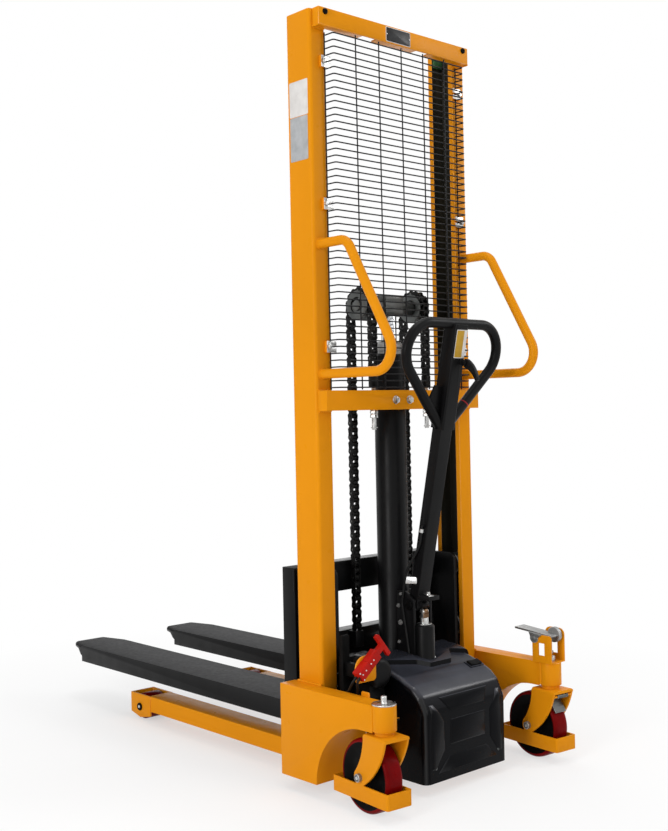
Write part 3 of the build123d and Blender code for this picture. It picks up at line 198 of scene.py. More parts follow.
# Chain: radius on the wheel and counts of pins, then the link's sizes in metres, its shares and its turn
CHAIN_RADIUS = 41.5
WRAP_PINS = 7
FRONT_PINS = 47
REAR_PINS = 10
LINK_END = 0.009
LINK_THICK = 0.0022
LINK_WAIST = 0.78
LINK_MIDDLE = 0.001
LINK_SIDE_SHARE = 0.7
LINK_TURN = math.radians(15.0)
INNER_GAP = 0.0064
OUTER_GAP = 0.0088
ROLLER_RADIUS = 0.0070
ROLLER_WIDTH = 0.0126
PIN_RADIUS = 0.0029
PIN_LENGTH = 0.0245

# Heads and weld beads: sizes in millimetres, rounding in metres, the rest as shares
WASHER_THICK = 1.6
WASHER_TAPER = 0.96
WASHER_SHARE = 0.68
HEAD_ROUND = 0.0012
BEAD_STEP = 1.15
BEAD_SWELL = (0.86, 1.12)
SMALL_BEAD = 0.8

# Shading
WHITE = (1.0, 1.0, 1.0, 1.0)
TINT_STOPS = (0.35, 0.65)
CORNER_LIMITS = (0.74, 0.92)
FLOOR_HALF = 60.0
FLOOR_DROP = 0.0004
FLOOR_FADE = (0.50, 1.0, 0.4, 1.8)
SOFT_LIGHT = 0.45


def spot(x, y, z):
    """Point in millimetres from the middle of the mast's rear face, at floor level."""
    return Vector((MAST_X + x / 1000, MAST_Y + y / 1000, z / 1000))


def at(x, y, z):
    """Matrix that moves a piece to a spot."""
    return Matrix.Translation(spot(x, y, z))


def standing(x, y, z):
    """Matrix that stands a turned piece upright on a spot."""
    return at(x, y, z) @ Matrix.Rotation(-math.pi / 2, 4, "Y")


def axes(x, y, z):
    """Matrix that turns a piece's axes to the given directions."""
    return Matrix((x, y, z)).transposed().to_4x4()


def facing(place, out, up=UP):
    """Matrix that lays a piece's Z along out and its Y along up."""
    out = Vector(out).normalized()
    side = Vector(up).cross(out).normalized()
    return Matrix.Translation(place) @ axes(side, out.cross(side), out)


def laid(place, axis, run):
    """Matrix that lays a piece's axis along a run."""
    return Matrix.Translation(place) @ Vector(axis).rotation_difference(run).to_matrix().to_4x4()


def on_tiller(x, y, along):
    """Point in the leaning frame of the tiller, counted from its pivot."""
    leaning = Matrix.Rotation(TILLER_LEAN, 3, "X") @ Vector((x, y, along))
    return spot(*(start + part for start, part in zip(TILLER_PIVOT, leaning)))


def at_wheel(side):
    """Middle of a swivel wheel, left -1 or right 1, turned with its fork."""
    turn = Matrix.Rotation(SWIVEL_TURN, 4, "Z")
    hub = Matrix.Translation((0, WHEEL_TRAIL / 1000, WHEEL_RADIUS / 1000))
    return at(side * SWIVEL_X, SWIVEL_Y, 0) @ turn @ hub


def tone(name, description, default):
    """Colour property of a finish."""
    return FloatVectorProperty(
        name=name, description=description, subtype="COLOR", size=3, min=0, max=1, default=default,
    )


class StackerFinishes(PropertyGroup):
    """Colours of the stacker's finishes."""

    paint: tone("Machine paint", "Paint of the mast, handles, base and swivel wheels", (0.73, 0.266, 0.005))
    enamel: tone("Black enamel", "Enamel of carriage, forks, tiller and cylinder", (0.0042, 0.0042, 0.0045))
    plastic: tone("Cover plastic", "Moulded plastic of the cover", (0.0024, 0.0026, 0.0034))
    tread: tone("Wheel tread", "Urethane tread of the wheels", (0.15, 0.0014, 0.0020))
    connector: tone("Connector", "Housing of the battery connector", (0.42, 0.007, 0.003))
    steel: tone("Plated steel", "Bolts, nuts, pins and pedal", (0.56, 0.56, 0.55))
    floor: tone("Studio floor", "Floor under the machine", (0.94, 0.94, 0.94))


class StackerSizes(PropertyGroup):
    """Sizes of the details that the dressing adds."""

    edge: FloatProperty(
        name="Edge rounding", description="Rounding of cut and folded sheet edges",
        unit="LENGTH", min=0, default=0.0013,
    )
    bead: FloatProperty(
        name="Weld bead", description="Radius of the weld beads", unit="LENGTH", min=0.001, default=0.0034,
    )
    pitch: FloatProperty(
        name="Chain pitch", description="Distance between chain pins",
        unit="LENGTH", min=0.005, default=0.01905,
    )
    turns: IntProperty(
        name="Turning steps", description="Steps round a turned piece", min=16, max=128, default=72,
    )
    lamp: FloatProperty(
        name="Key lamp", description="Power of the large lamp on the left",
        unit="POWER", min=0, default=105.0,
    )


# Finishes


def fill(tree, node, inputs):
    """Gives each input of a shader node a plain value or another node's output."""
    for key, value in inputs.items():
        if isinstance(value, NodeSocket):
            tree.links.new(value, node.inputs[key])
        else:
            node.inputs[key].default_value = value


def add_node(tree, kind, inputs=None, **settings):
    """Adds a shader node and fills its inputs."""
    node = tree.nodes.new("ShaderNode" + kind)
    for key, value in settings.items():
        setattr(node, key, value)
    fill(tree, node, inputs or {})
    return node


def largest(tree, peak, *others):
    """Largest of several values."""
    for other in others:
        peak = add_node(tree, "Math", {0: peak, 1: other}, operation="MAXIMUM").outputs["Value"]
    return peak


def looked_at(tree):
    """1 for rays from the camera, off shine or through glass, and 0 for falling light."""
    path = add_node(tree, "LightPath").outputs
    return largest(tree, path["Is Camera Ray"], path["Is Glossy Ray"], path["Is Transmission Ray"])


def mix_to(tree, output, share, shader, white):
    """Sends a mix of two shaders to the tree's output node."""
    mix = add_node(tree, "MixShader", {"Fac": share, 1: shader, 2: white})
    fill(tree, tree.nodes[output], {"Surface": mix.outputs["Shader"]})


class Finish:
    """A material under construction, with the texture nodes that finishes share."""

    def __init__(self, name):
        self.material = bpy.data.materials.new(name)
        self.material.use_nodes = True
        self.tree = self.material.node_tree
        self.shader = self.tree.nodes["Principled BSDF"]
        self.place = self.add("TexCoord")["Object"]
        self.bumps = {}

    def add(self, kind, inputs=None, **settings):
        return add_node(self.tree, kind, inputs, **settings).outputs

    def set(self, inputs):
        fill(self.tree, self.shader, inputs)

    def grain(self, scale, detail, stretch=(1.0, 1.0, 1.0)):
        place = self.add("Mapping", {"Scale": stretch, "Vector": self.place})["Vector"]
        return self.add("TexNoise", {"Scale": scale, "Detail": detail, "Vector": place})["Fac"]

    def cells(self, scale):
        return self.add("TexVoronoi", {"Scale": scale, "Vector": self.place})["Distance"]

    def pattern(self, own, shared):
        """Grain of its own, cells where only a scale is given, or else the shared grain."""
        if not own:
            return shared
        return self.grain(*own) if len(own) > 1 else self.cells(*own)

    def tint(self, factor, low, high):
        ramp = add_node(self.tree, "ValToRGB", {"Fac": factor})
        for stop, position, colour in zip(ramp.color_ramp.elements, TINT_STOPS, (low, high)):
            stop.position = position
            stop.color = (*colour, 1.0)
        return ramp.outputs["Color"]

    def over(self, below, above, factor):
        return self.add("Mix", {"Factor": factor, "A": below, "B": above}, data_type="RGBA")["Result"]

    def spread(self, factor, low, high, start=0.3, end=0.7):
        limits = {"From Min": start, "From Max": end, "To Min": low, "To Max": high}
        return self.add("MapRange", {"Value": factor, **limits})["Result"]

    def slope(self, start, full, hold, end, rest):
        """Factor by how far a face looks up: it rises from start to full, then falls to rest."""
        up = self.add("SeparateXYZ", {"Vector": self.add("NewGeometry")["Normal"]})["Z"]
        rise = self.spread(up, 0.0, 1.0, start, full)
        fall = self.spread(up, 1.0, rest, hold, end)
        return self.add("Math", {0: rise, 1: fall}, operation="MULTIPLY")["Value"]

    def corner(self, low, high):
        """Value that goes from low on faces along the axes to high on rounded corners."""
        size = self.add("VectorMath", {0: self.add("NewGeometry")["Normal"]}, operation="ABSOLUTE")["Vector"]
        parts = self.add("SeparateXYZ", {"Vector": size})
        return self.spread(largest(self.tree, parts["X"], parts["Y"], parts["Z"]), high, low, *CORNER_LIMITS)

    def relief(self, height, depth):
        bump = self.add("Bump", {"Distance": depth, "Strength": 1.0, "Height": height, **self.bumps})
        self.bumps = {"Normal": bump["Normal"]}
        self.set(self.bumps)


def tones_of(colours, tones):
    """Two tones: a named colour made darker or lighter, or colours given as they are."""
    if not isinstance(tones[0], str):
        return tones
    colour = getattr(colours, tones[0])
    return [tuple(min(1.0, part * amount) for part in colour) for amount in tones[1:]]


def coat(tones, grain, gloss, *reliefs, wear_and_reflection=None, shine=0.5, metal=0.0):
    """Maker of a grained finish.

    gloss is its limits and each relief its depth, with a grain of its own or else the colour's.
    The last argument lays patches of another tone over the coat: worn spots that show what lies below, and on
    the fork edges a painted brown reflection. It gives the grain and limits of the patches, then the grain
    and tones of the patches.
    """

    def make(name, colours):
        finish = Finish(name)
        base = finish.grain(*grain)
        colour = finish.tint(base, *tones_of(colours, tones))
        # Patches of another tone: worn spots on most finishes, painted reflection on the fork edges
        if wear_and_reflection:
            patches, limits, patch_grain, patch_tones = wear_and_reflection
            below = finish.tint(finish.grain(*patch_grain), *patch_tones)
            colour = finish.over(colour, below, finish.spread(finish.grain(*patches), 0.0, 1.0, *limits))
        low, high, *own = gloss
        rough = finish.spread(finish.pattern(own, base), low, high)
        for depth, *own in reliefs:
            finish.relief(finish.pattern(own, base), depth)
        finish.set({"Base Color": colour, "Roughness": rough, "Specular IOR Level": shine, "Metallic": metal})
        return finish.material

    return make


def plate(low, high, rough):
    """Maker of a plain plate's finish."""
    return coat((low, high), (38.0, 4.0), (rough, rough + 0.12, 80.0, 3.0), (0.00004, 420.0, 2.0), shine=0.2)


def make_moulded_cover(name, colours):
    finish = Finish(name)
    plastic = finish.tint(finish.grain(5.0, 4.0), *tones_of(colours, ("plastic", 0.8, 1.4)))
    # Painted reflection: a lighter bluish tone laid over the plastic on faces that look up, standing in for
    # the sky mirrored in the cover's top
    painted_sheen = finish.tint(finish.grain(7.0, 4.0), (0.034, 0.036, 0.047), (0.052, 0.055, 0.070))
    finish.relief(finish.cells(850.0), 0.00004)
    finish.set({
        "Base Color": finish.over(plastic, painted_sheen, finish.slope(0.40, 0.84, 0.90, 0.975, 0.4)),
        "Roughness": finish.spread(finish.grain(22.0, 4.0), 0.17, 0.25),
        "Specular IOR Level": finish.corner(0.06, 0.34),
    })
    return finish.material


FINISHES = {
    "machine_paint": coat(
        ("paint", 0.95, 1.04), (2.4, 4.0), (0.27, 0.38, 26.0, 4.0),
        (0.000015, 190.0, 2.0), (0.0004, 7.0, 2.0), shine=0.05,
    ),
    "machine_paint_edge": coat(
        ("paint", 0.97, 1.08), (3.0, 4.0), (0.18, 0.32, 40.0, 4.0), (0.00006, 190.0, 2.0), shine=0.42,
        wear_and_reflection=((310.0, 5.0), (0.73, 0.78), (90.0, 2.0), ((0.16, 0.10, 0.05), (0.26, 0.22, 0.18))),
    ),
    "black_enamel": coat(
        ("enamel", 0.75, 1.35), (3.0, 5.0), (0.30, 0.46, 18.0, 5.0), (0.00008, 170.0, 3.0), shine=0.10,
    ),
    "black_enamel_edge": coat(
        ("enamel", 1.2, 2.4), (4.0, 4.0), (0.28, 0.46, 30.0, 4.0), shine=0.12,
        wear_and_reflection=((240.0, 6.0), (0.62, 0.70), (120.0, 2.0), ((0.022, 0.018, 0.016), (0.055, 0.046, 0.040))),
    ),
    # Fork tops: enamel painted lighter than the black flanks, a painted reflection on the faces that look up
    "fork_enamel": coat(
        ("enamel", 2.2, 3.2), (55.0, 6.0), (0.60, 0.68, 90.0, 5.0), (0.00008, 260.0, 3.0), shine=0.06,
    ),
    # Fork edges: lighter enamel with brown patches, both a painted reflection on the rounded edges
    "fork_edge": coat(
        ("enamel", 1.4, 2.6), (4.0, 4.0), (0.40, 0.56, 30.0, 4.0), shine=0.08,
        wear_and_reflection=((34.0, 6.0), (0.46, 0.60), (120.0, 2.0), ((0.034, 0.020, 0.010), (0.085, 0.048, 0.022))),
    ),
    "running_channel": coat(
        ((0.010, 0.0088, 0.0055), (0.036, 0.030, 0.019)), (42.0, 5.0, (1.0, 1.0, 0.03)), (0.34, 0.55),
        (0.0001,), shine=0.14,
        wear_and_reflection=((9.0, 4.0), (0.3, 0.7), (9.0, 4.0), ((0.010, 0.010, 0.008), (0.022, 0.021, 0.016))),
    ),
    "chain_steel": coat(
        ((0.004, 0.004, 0.004), (0.014, 0.0135, 0.013)), (60.0, 4.0), (0.26, 0.48), (0.00008, 500.0, 2.0),
        shine=0.14, metal=0.2,
    ),
    "pulley_steel": coat(
        ((0.070, 0.074, 0.073), (0.135, 0.142, 0.138)), (70.0, 4.0, (1.0, 0.2, 0.2)), (0.32, 0.50),
        (0.00006, 420.0, 2.0), metal=0.75,
    ),
    "ground_steel": coat(
        ((0.055, 0.056, 0.053), (0.13, 0.132, 0.127)), (90.0, 5.0, (0.15, 1.0, 1.0)), (0.30, 0.46),
        (0.00004,), metal=0.85,
    ),
    "roller_bronze": coat(
        ((0.10, 0.055, 0.028), (0.22, 0.13, 0.07)), (60.0, 4.0), (0.28, 0.44), (0.00005, 400.0, 2.0),
        metal=0.9,
    ),
    "plated_steel": coat(
        ("steel", 0.72, 1.12), (55.0, 5.0), (0.22, 0.38), (0.00005, 620.0, 2.0), metal=1.0,
    ),
    "satin_steel": coat(
        ("steel", 0.42, 0.66), (120.0, 5.0, (1.0, 0.08, 1.0)), (0.36, 0.54), (0.00005,), metal=0.8,
    ),
    "chrome_rod": coat(
        ((0.42, 0.43, 0.44), (0.58, 0.59, 0.60)), (16.0, 4.0, (1.0, 1.0, 0.2)), (0.08, 0.18), metal=1.0,
    ),
    "moulded_cover": make_moulded_cover,
    "urethane_tread": coat(
        ("tread", 0.8, 1.25), (14.0, 4.0), (0.26, 0.42, 45.0, 4.0), (0.00009, 260.0, 3.0), shine=0.045,
    ),
    "wheel_core": coat(
        ((0.0018, 0.0018, 0.0018), (0.0046, 0.0045, 0.0044)), (20.0, 4.0), (0.42, 0.62, 60.0, 4.0),
        (0.0001, 330.0, 3.0), shine=0.05,
    ),
    "red_housing": coat(
        ("connector", 0.84, 1.12), (18.0, 4.0), (0.34, 0.48, 70.0, 3.0), (0.00006, 1100.0), shine=0.10,
    ),
    "cable_sheath": coat(
        ((0.004, 0.004, 0.004), (0.009, 0.009, 0.009)), (40.0, 3.0), (0.40, 0.56, 90.0, 3.0),
        (0.00006, 700.0, 2.0), shine=0.14,
    ),
    "wire_coat": coat(
        ((0.004, 0.004, 0.0045), (0.008, 0.008, 0.009)), (25.0, 3.0), (0.30, 0.44, 60.0, 3.0),
        (0.00005, 500.0, 2.0), shine=0.12,
    ),
    "pale_plate": plate((0.62, 0.60, 0.58), (0.70, 0.68, 0.66), 0.40),
    "grey_plate": plate((0.33, 0.34, 0.35), (0.43, 0.44, 0.45), 0.30),
    "dark_plate": plate((0.010, 0.010, 0.011), (0.022, 0.022, 0.023), 0.30),
    "amber_plate": plate((0.42, 0.235, 0.020), (0.52, 0.30, 0.028), 0.38),
    "red_band": plate((0.28, 0.008, 0.012), (0.38, 0.012, 0.016), 0.35),
    "green_pad": plate((0.03, 0.10, 0.04), (0.05, 0.16, 0.06), 0.45),
}
PAINTED = ("machine_paint", "machine_paint_edge")
ENAMELLED = ("black_enamel", "black_enamel_edge")
AXLE = ("wheel_core", "plated_steel", "satin_steel")


def finish_of(name):
    """The named finish, made on first use."""
    found = bpy.data.materials.get(name)
    if found is None:
        found = FINISHES[name](name, bpy.context.scene.stacker_finishes)
    return found


# Shapes


def round_edges(bm, edges, width, steps=2):
    """Rounds edges and returns the new faces."""
    if not edges:
        return []
    made = bmesh.ops.bevel(
        bm, geom=edges, offset=width, offset_type="OFFSET", segments=steps, profile=0.5,
        affect="EDGES", clamp_overlap=True, material=-1,
    )
    return made["faces"]


def sharp_edges(bm):
    """Edges between faces that meet at a clear angle."""
    limit = math.radians(SHARP_DEGREES)
    return [edge for edge in bm.edges if len(edge.link_faces) == 2 and edge.calc_face_angle() > limit]


def edges_above(bm, height):
    """Edges that lie above a height in metres."""
    return [edge for edge in bm.edges if min(vert.co.z for vert in edge.verts) > height]


def high_runs(length, height):
    """Picker of edges that run fore and aft for a length, above a height, both in metres."""

    def pick(edge):
        first, last = (vert.co for vert in edge.verts)
        return abs(last.y - first.y) > length and min(first.z, last.z) > height

    return pick


def only(kind, geom):
    """The items of one kind."""
    return [item for item in geom if isinstance(item, kind)]


def copy_of(node, rounding, steps, broad):
    """Welded copy of a CAD node's mesh, its hard edges rounded. Rounded faces take finish 1.

    broad picks edges that are rounded wider, without the worn finish.
    """
    bm = bmesh.new()
    bm.from_mesh(NODES[node].data)
    for face in bm.faces:
        face.material_index = 0
    bmesh.ops.remove_doubles(bm, verts=bm.verts, dist=COPY_MERGE)
    if rounding:
        bmesh.ops.dissolve_limit(
            bm, angle_limit=FLAT_ANGLE, use_dissolve_boundaries=False, verts=bm.verts, edges=bm.edges,
        )
        if broad:
            round_edges(bm, [edge for edge in sharp_edges(bm) if broad(edge)], BROAD_ROUND, 5)
        for face in round_edges(bm, sharp_edges(bm), rounding, steps):
            face.material_index = 1
    return bm


def settle(name, bm, finishes, body=None, nodes=(), place=None, smooth=SHARP_DEGREES):
    """Makes a piece of the bmesh. It rides on a body and may stand for CAD nodes."""
    if place is not None:
        bmesh.ops.transform(bm, matrix=place, verts=bm.verts)
    mesh = bpy.data.meshes.new(name)
    bm.to_mesh(mesh)
    bm.free()
    for finish in finishes:
        mesh.materials.append(finish_of(finish))
    mesh.shade_smooth()
    mesh.set_sharp_from_angle(angle=math.radians(smooth))
    piece = bpy.data.objects.new(name, mesh)
    bpy.context.scene.collection.objects.link(piece)
    if body:
        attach(piece, body)
    if nodes:
        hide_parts(*nodes)
    return piece


def stand_in(node, bm, finishes, place=None):
    """Makes the piece that replaces a CAD node, on that node's body."""
    settle(node + "_dressed", bm, finishes, NODES[node]["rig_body"], (node,), place)


def dress(node, finishes, rounding=0.0, third=None, steps=2, broad=None):
    """Replaces a CAD node by its rounded copy.

    third picks the faces of the third finish, by their centre in millimetres and their normal.
    """
    bm = copy_of(node, rounding, steps, broad)
    for face in bm.faces if third else ():
        if third((face.calc_center_median() - spot(0, 0, 0)) * 1000, face.normal):
            face.material_index = 2
    stand_in(node, bm, finishes)


def add_shape(bm, shape, matrix, finish=0):
    """Adds another bmesh, placed by the matrix, to bm."""
    bmesh.ops.transform(shape, matrix=matrix, verts=shape.verts)
    for face in shape.faces:
        face.material_index = finish
    part = bpy.data.meshes.new("part")
    shape.to_mesh(part)
    shape.free()
    bm.from_mesh(part)
    bpy.data.meshes.remove(part)


def thicken(bm, faces, thick):
    """Pushes flat faces up into a plate, in metres."""
    pushed = bmesh.ops.extrude_face_region(bm, geom=faces)["geom"]
    bmesh.ops.translate(bm, verts=only(BMVert, pushed), vec=(0, 0, thick))


def round_front(bm, thick, edge):
    """Rounds the front edges of a plate, in millimetres."""
    round_edges(bm, edges_above(bm, thick / 1000 - HAIR), edge / 1000)


def slab(width, height, thick, corner, edge):
    """Plate in millimetres with its back on Z = 0, corners and front edge rounded."""
    bm = bmesh.new()
    bmesh.ops.create_cube(bm, size=1.0)
    bmesh.ops.translate(bm, verts=bm.verts, vec=(0, 0, 0.5))
    bmesh.ops.scale(bm, verts=bm.verts, vec=(width / 1000, height / 1000, thick / 1000))
    upright = [e for e in bm.edges if abs(e.verts[0].co.z - e.verts[1].co.z) > thick / 2000]
    round_edges(bm, upright, corner / 1000, 4)
    round_front(bm, thick, edge)
    return bm


def outline_slab(points, thick, edge=0.0):
    """Flat piece from an outline in millimetres, its back on Z = 0."""
    bm = bmesh.new()
    thicken(bm, [bm.faces.new([bm.verts.new((x / 1000, y / 1000, 0)) for x, y in points])], thick / 1000)
    bmesh.ops.recalc_face_normals(bm, faces=bm.faces)
    if edge:
        round_front(bm, thick, edge)
    return bm


def both_ends(half):
    """Profile of a turned piece from the points of its right half."""
    return list(half) + [(-along, out) for along, out in reversed(half) if along]


def turned(profile, steps, closed=True):
    """Turned piece about X from (along, out) points in millimetres."""
    bm = bmesh.new()
    points = [bm.verts.new((along / 1000, 0, out / 1000)) for along, out in profile]
    pairs = list(zip(points, points[1:]))
    if closed:
        pairs.append((points[-1], points[0]))
    lines = [bm.edges.new(pair) for pair in pairs]
    bmesh.ops.spin(
        bm, geom=points + lines, cent=(0, 0, 0), axis=RIGHT, dvec=(0, 0, 0), angle=math.tau,
        steps=steps, use_merge=True, use_duplicate=False,
    )
    bmesh.ops.remove_doubles(bm, verts=bm.verts, dist=TURN_MERGE)
    bmesh.ops.recalc_face_normals(bm, faces=bm.faces)
    return bm


def ring_finishes(bm, rings, centre=Vector()):
    """Gives faces a finish by their distance from an axis along X, from (limit in millimetres, finish)."""
    for face in bm.faces:
        place = (face.calc_center_median() - centre) * 1000
        out = math.hypot(place.y, place.z)
        face.material_index = next(finish for limit, finish in rings if out <= limit)


def add_rod(bm, sides, radius, depth, top=None, caps=True):
    """Adds an upright rod about the origin, in metres, and returns its points."""
    return bmesh.ops.create_cone(
        bm, cap_ends=caps, segments=sides, radius1=radius, radius2=top or radius, depth=depth,
    )["verts"]


def hex_head(across, height, washer):
    """Hexagon head in millimetres on its washer, on Z = 0."""
    bm = bmesh.new()
    rim = washer / 1000
    ring = add_rod(bm, 28, rim, WASHER_THICK / 1000, rim * WASHER_TAPER)
    bmesh.ops.translate(bm, verts=ring, vec=(0, 0, WASHER_THICK / 2000))
    head = add_rod(bm, 6, across / math.sqrt(3) / 1000, height / 1000)
    bmesh.ops.translate(bm, verts=head, vec=(0, 0, (WASHER_THICK + height / 2) / 1000))
    round_edges(bm, edges_above(bm, (WASHER_THICK + height) / 1000 - HAIR), HEAD_ROUND)
    return bm


def dome_head(radius, height, socket=0.0):
    """Round screw head in millimetres on Z = 0, with a socket if given."""
    profile = [(0, radius), (height * 0.35, radius), (height * 0.75, radius * 0.86), (height, radius * 0.55)]
    if socket:
        profile += [(height, socket), (height * 0.4, socket * 0.9), (height * 0.35, 0.01)]
    else:
        profile += [(height * 1.06, 0.01)]
    bm = turned(profile, 24, closed=False)
    bmesh.ops.rotate(bm, verts=bm.verts, cent=(0, 0, 0), matrix=Matrix.Rotation(-math.pi / 2, 3, "Y"))
    return bm


def weld_bead(bm, start, end, radius):
    """Rippled bead along a straight joint between two points in metres."""
    shape = bmesh.new()
    run = end - start
    add_rod(shape, 8, radius, run.length)
    long_edges = [e for e in shape.edges if e.calc_length() > run.length * 0.9]
    rings = max(3, int(run.length / (radius * BEAD_STEP)))
    bmesh.ops.subdivide_edges(shape, edges=long_edges, cuts=rings, use_grid_fill=True)
    step = run.length / (rings + 1)
    for vert in shape.verts:
        swell = BEAD_SWELL[round((vert.co.z + run.length / 2) / step) % 2]
        vert.co.x *= swell
        vert.co.y *= swell
    add_shape(bm, shape, laid((start + end) / 2, UP, run.normalized()))


def weld_both_sides(name, runs, finish, body):
    """Weld beads on the left and the right side, from (radius, start, end) with places in millimetres."""
    bm = bmesh.new()
    for _, side in SIDES:
        for radius, *ends in runs:
            start, end = (spot(side * x, y, z) for x, y, z in ends)
            weld_bead(bm, start, end, radius)
    settle(name, bm, (finish,), body)


def add_cable(bm, route, radius):
    """Adds a round cable along a smooth spline through the route, its radius in millimetres."""
    curve = bpy.data.curves.new("route", "CURVE")
    curve.dimensions = "3D"
    spline = curve.splines.new("NURBS")
    spline.points.add(len(route) - 1)
    for point, place in zip(spline.points, route):
        point.co = (*place, 1.0)
    spline.order_u = 3
    spline.use_endpoint_u = True
    curve.resolution_u = 10
    curve.bevel_depth = radius / 1000
    curve.bevel_resolution = 4
    curve.use_fill_caps = True
    holder = bpy.data.objects.new("route", curve)
    mesh = bpy.data.meshes.new_from_object(holder)
    bm.from_mesh(mesh)
    bpy.data.objects.remove(holder)
    bpy.data.curves.remove(curve)
    bpy.data.meshes.remove(mesh)
    for face in bm.faces:
        face.material_index = 0


def bent_tube(points, bends, radius, steps):
    """Round tube in millimetres along straight runs joined by bends, open at both ends."""
    corners = [spot(*point) for point in points]
    bm = bmesh.new()
    ring = bmesh.ops.create_circle(bm, cap_ends=False, radius=radius / 1000, segments=steps)["verts"]
    first = (corners[1] - corners[0]).normalized()
    bmesh.ops.transform(bm, matrix=laid(corners[0], UP, first), verts=ring)
    edges = list({edge for vert in ring for edge in vert.link_edges})
    place = corners[0]
    for corner, after, bend in zip(corners[1:], corners[2:] + [None], list(bends) + [0.0]):
        run = (corner - place).normalized()
        target = corner
        if after is not None:
            leave = (after - corner).normalized()
            angle = run.angle(leave)
            short = bend / 1000 * math.tan(angle / 2)
            target = corner - run * short
        pushed = bmesh.ops.extrude_edge_only(bm, edges=edges)["geom"]
        bmesh.ops.translate(bm, verts=only(BMVert, pushed), vec=target - place)
        edges = only(BMEdge, pushed)
        place = target
        if after is not None:
            axis = run.cross(leave).normalized()
            centre = target + axis.cross(run) * (bend / 1000)
            verts = list({vert for edge in edges for vert in edge.verts})
            spun = bmesh.ops.spin(
                bm, geom=verts + edges, cent=centre, axis=axis, dvec=(0, 0, 0), angle=angle,
                steps=max(6, int(math.degrees(angle) / 4)), use_merge=False, use_duplicate=False,
            )
            edges = only(BMEdge, spun["geom_last"])
            place = corner + leave * short
    bmesh.ops.remove_doubles(bm, verts=bm.verts, dist=TURN_MERGE)
    bmesh.ops.recalc_face_normals(bm, faces=bm.faces)
    return bm


def axle(half, head_thick, head, rod):
    """Axle along X in millimetres, with a ringed head at both ends."""
    inner = half - head_thick
    side = (
        (half, 0.01), (half, 4.6), (half - 1.4, 5.2), (half - 1.4, head - 4.0), (half, head - 3.4),
        (half, head - 1.2), (half - 1.2, head), (inner, head), (inner, rod),
    )
    return turned(both_ends(side), 40, closed=False)


# Builders


def make_crossbar_bolts():
    bm = bmesh.new()
    for x in (-44.0, 9.0):
        add_shape(bm, hex_head(17.0, 6.4, 11.5), facing(spot(x, -34.0, 996.0), REAR, (0.2, 0, 1)))
        add_shape(bm, hex_head(17.0, 6.4, 11.5), facing(spot(x, -28.0, 996.0), FRONT))
    for x in (-265.0, 265.0):
        add_shape(bm, dome_head(8.0, 5.0, 2.6), facing(spot(x, -26.0, 1997.0), REAR), 1)
    stand_in("crossbar_bolts", bm, ("plated_steel", "wheel_core"))


def make_mast_plates():
    bm = bmesh.new()
    for finish, sizes, place, out in (
        (1, (94.0, 40.0, 0.6, 3.0, 0.2), (2.0, -26.0, TOP_PLATE_Z), REAR),
        (0, (91.0, 37.0, 0.9, 2.4, 0.2), (2.0, -26.0, TOP_PLATE_Z), REAR),
        (1, (72.0, 92.0, 0.5, 3.0, 0.2), (-298.0, 46.0, 1782.0), LEFT),
        (2, (69.0, 114.0, 0.5, 3.0, 0.2), (-298.0, 46.5, 1677.5), LEFT),
    ):
        add_shape(bm, slab(*sizes), facing(spot(*place), out), finish)
    for x in (-41.0, 45.0):
        add_shape(bm, dome_head(1.7, 1.2), facing(spot(x, -26.9, TOP_PLATE_Z), REAR), 3)
    finishes = ("dark_plate", "pale_plate", "grey_plate", "plated_steel")
    settle("mast_plates", bm, finishes, "base")
    pad = slab(36.0, 34.0, 6.0, 4.0, 1.0)
    place = facing(spot(268.0, 77.5, 1986.0), REAR)
    settle("stop_pad", pad, ("green_pad",), "base", (), place)


class STACKER_OT_mast(Operator):
    """Uprights with dark running channels, crossbars, bare plates and bolts."""

    bl_idname = "stacker.mast"
    bl_label = "Mast"

    def execute(self, context):
        sizes = context.scene.stacker_sizes

        def in_channel(place, normal):
            return abs(place.x) < CHANNEL_ACROSS and CHANNEL_REAR < place.y < CHANNEL_FRONT

        for node in ("left_upright", "right_upright"):
            dress(node, PAINTED + ("running_channel",), sizes.edge * FOLD_EDGE, in_channel, 3)
        for node in ("top_crossbar", "mid_crossbar"):
            dress(node, PAINTED, sizes.edge * BAR_EDGE)
        make_crossbar_bolts()
        make_mast_plates()
        bead = sizes.bead
        runs = (
            (bead * SMALL_BEAD, (287.0, -1.0, 1961.0), (287.0, -24.0, 1961.0)),
            (bead, (248.0, -1.0, 970.0), (290.0, -1.0, 970.0)),
            (bead, (248.0, -1.0, 1022.0), (290.0, -1.0, 1022.0)),
            (bead, (248.0, -1.0, 1961.0), (285.0, -1.0, 1961.0)),
            (bead, (299.0, 1.0, 268.5), (299.0, 93.0, 268.5)),
        )
        weld_both_sides("mast_welds", runs, "machine_paint", "base")
        return {"FINISHED"}


class STACKER_OT_handles(Operator):
    """Bent grab handles with their weld rings."""

    bl_idname = "stacker.handles"
    bl_label = "Grab handles"

    def execute(self, context):
        radius = context.scene.stacker_sizes.bead * SMALL_BEAD * 1000
        angles = [math.pi / 3 * step for step in range(6)]
        bead = [(radius * math.cos(angle), HANDLE_WELD + radius * math.sin(angle)) for angle in angles]
        welds = bmesh.new()
        for word, side in SIDES:
            x = side * HANDLE_X
            route = [(x, y, z) for y, z in HANDLE_ROUTE]
            tube = bent_tube(route, HANDLE_BENDS, HANDLE_RADIUS, HANDLE_STEPS)
            stand_in(word + "_grab_handle", tube, ("machine_paint",))
            for z in (HANDLE_TOP, HANDLE_BOTTOM):
                add_shape(welds, turned(bead, HANDLE_STEPS), facing(spot(x, -0.6, z), RIGHT))
        settle("handle_welds", welds, ("machine_paint",), "base")
        return {"FINISHED"}


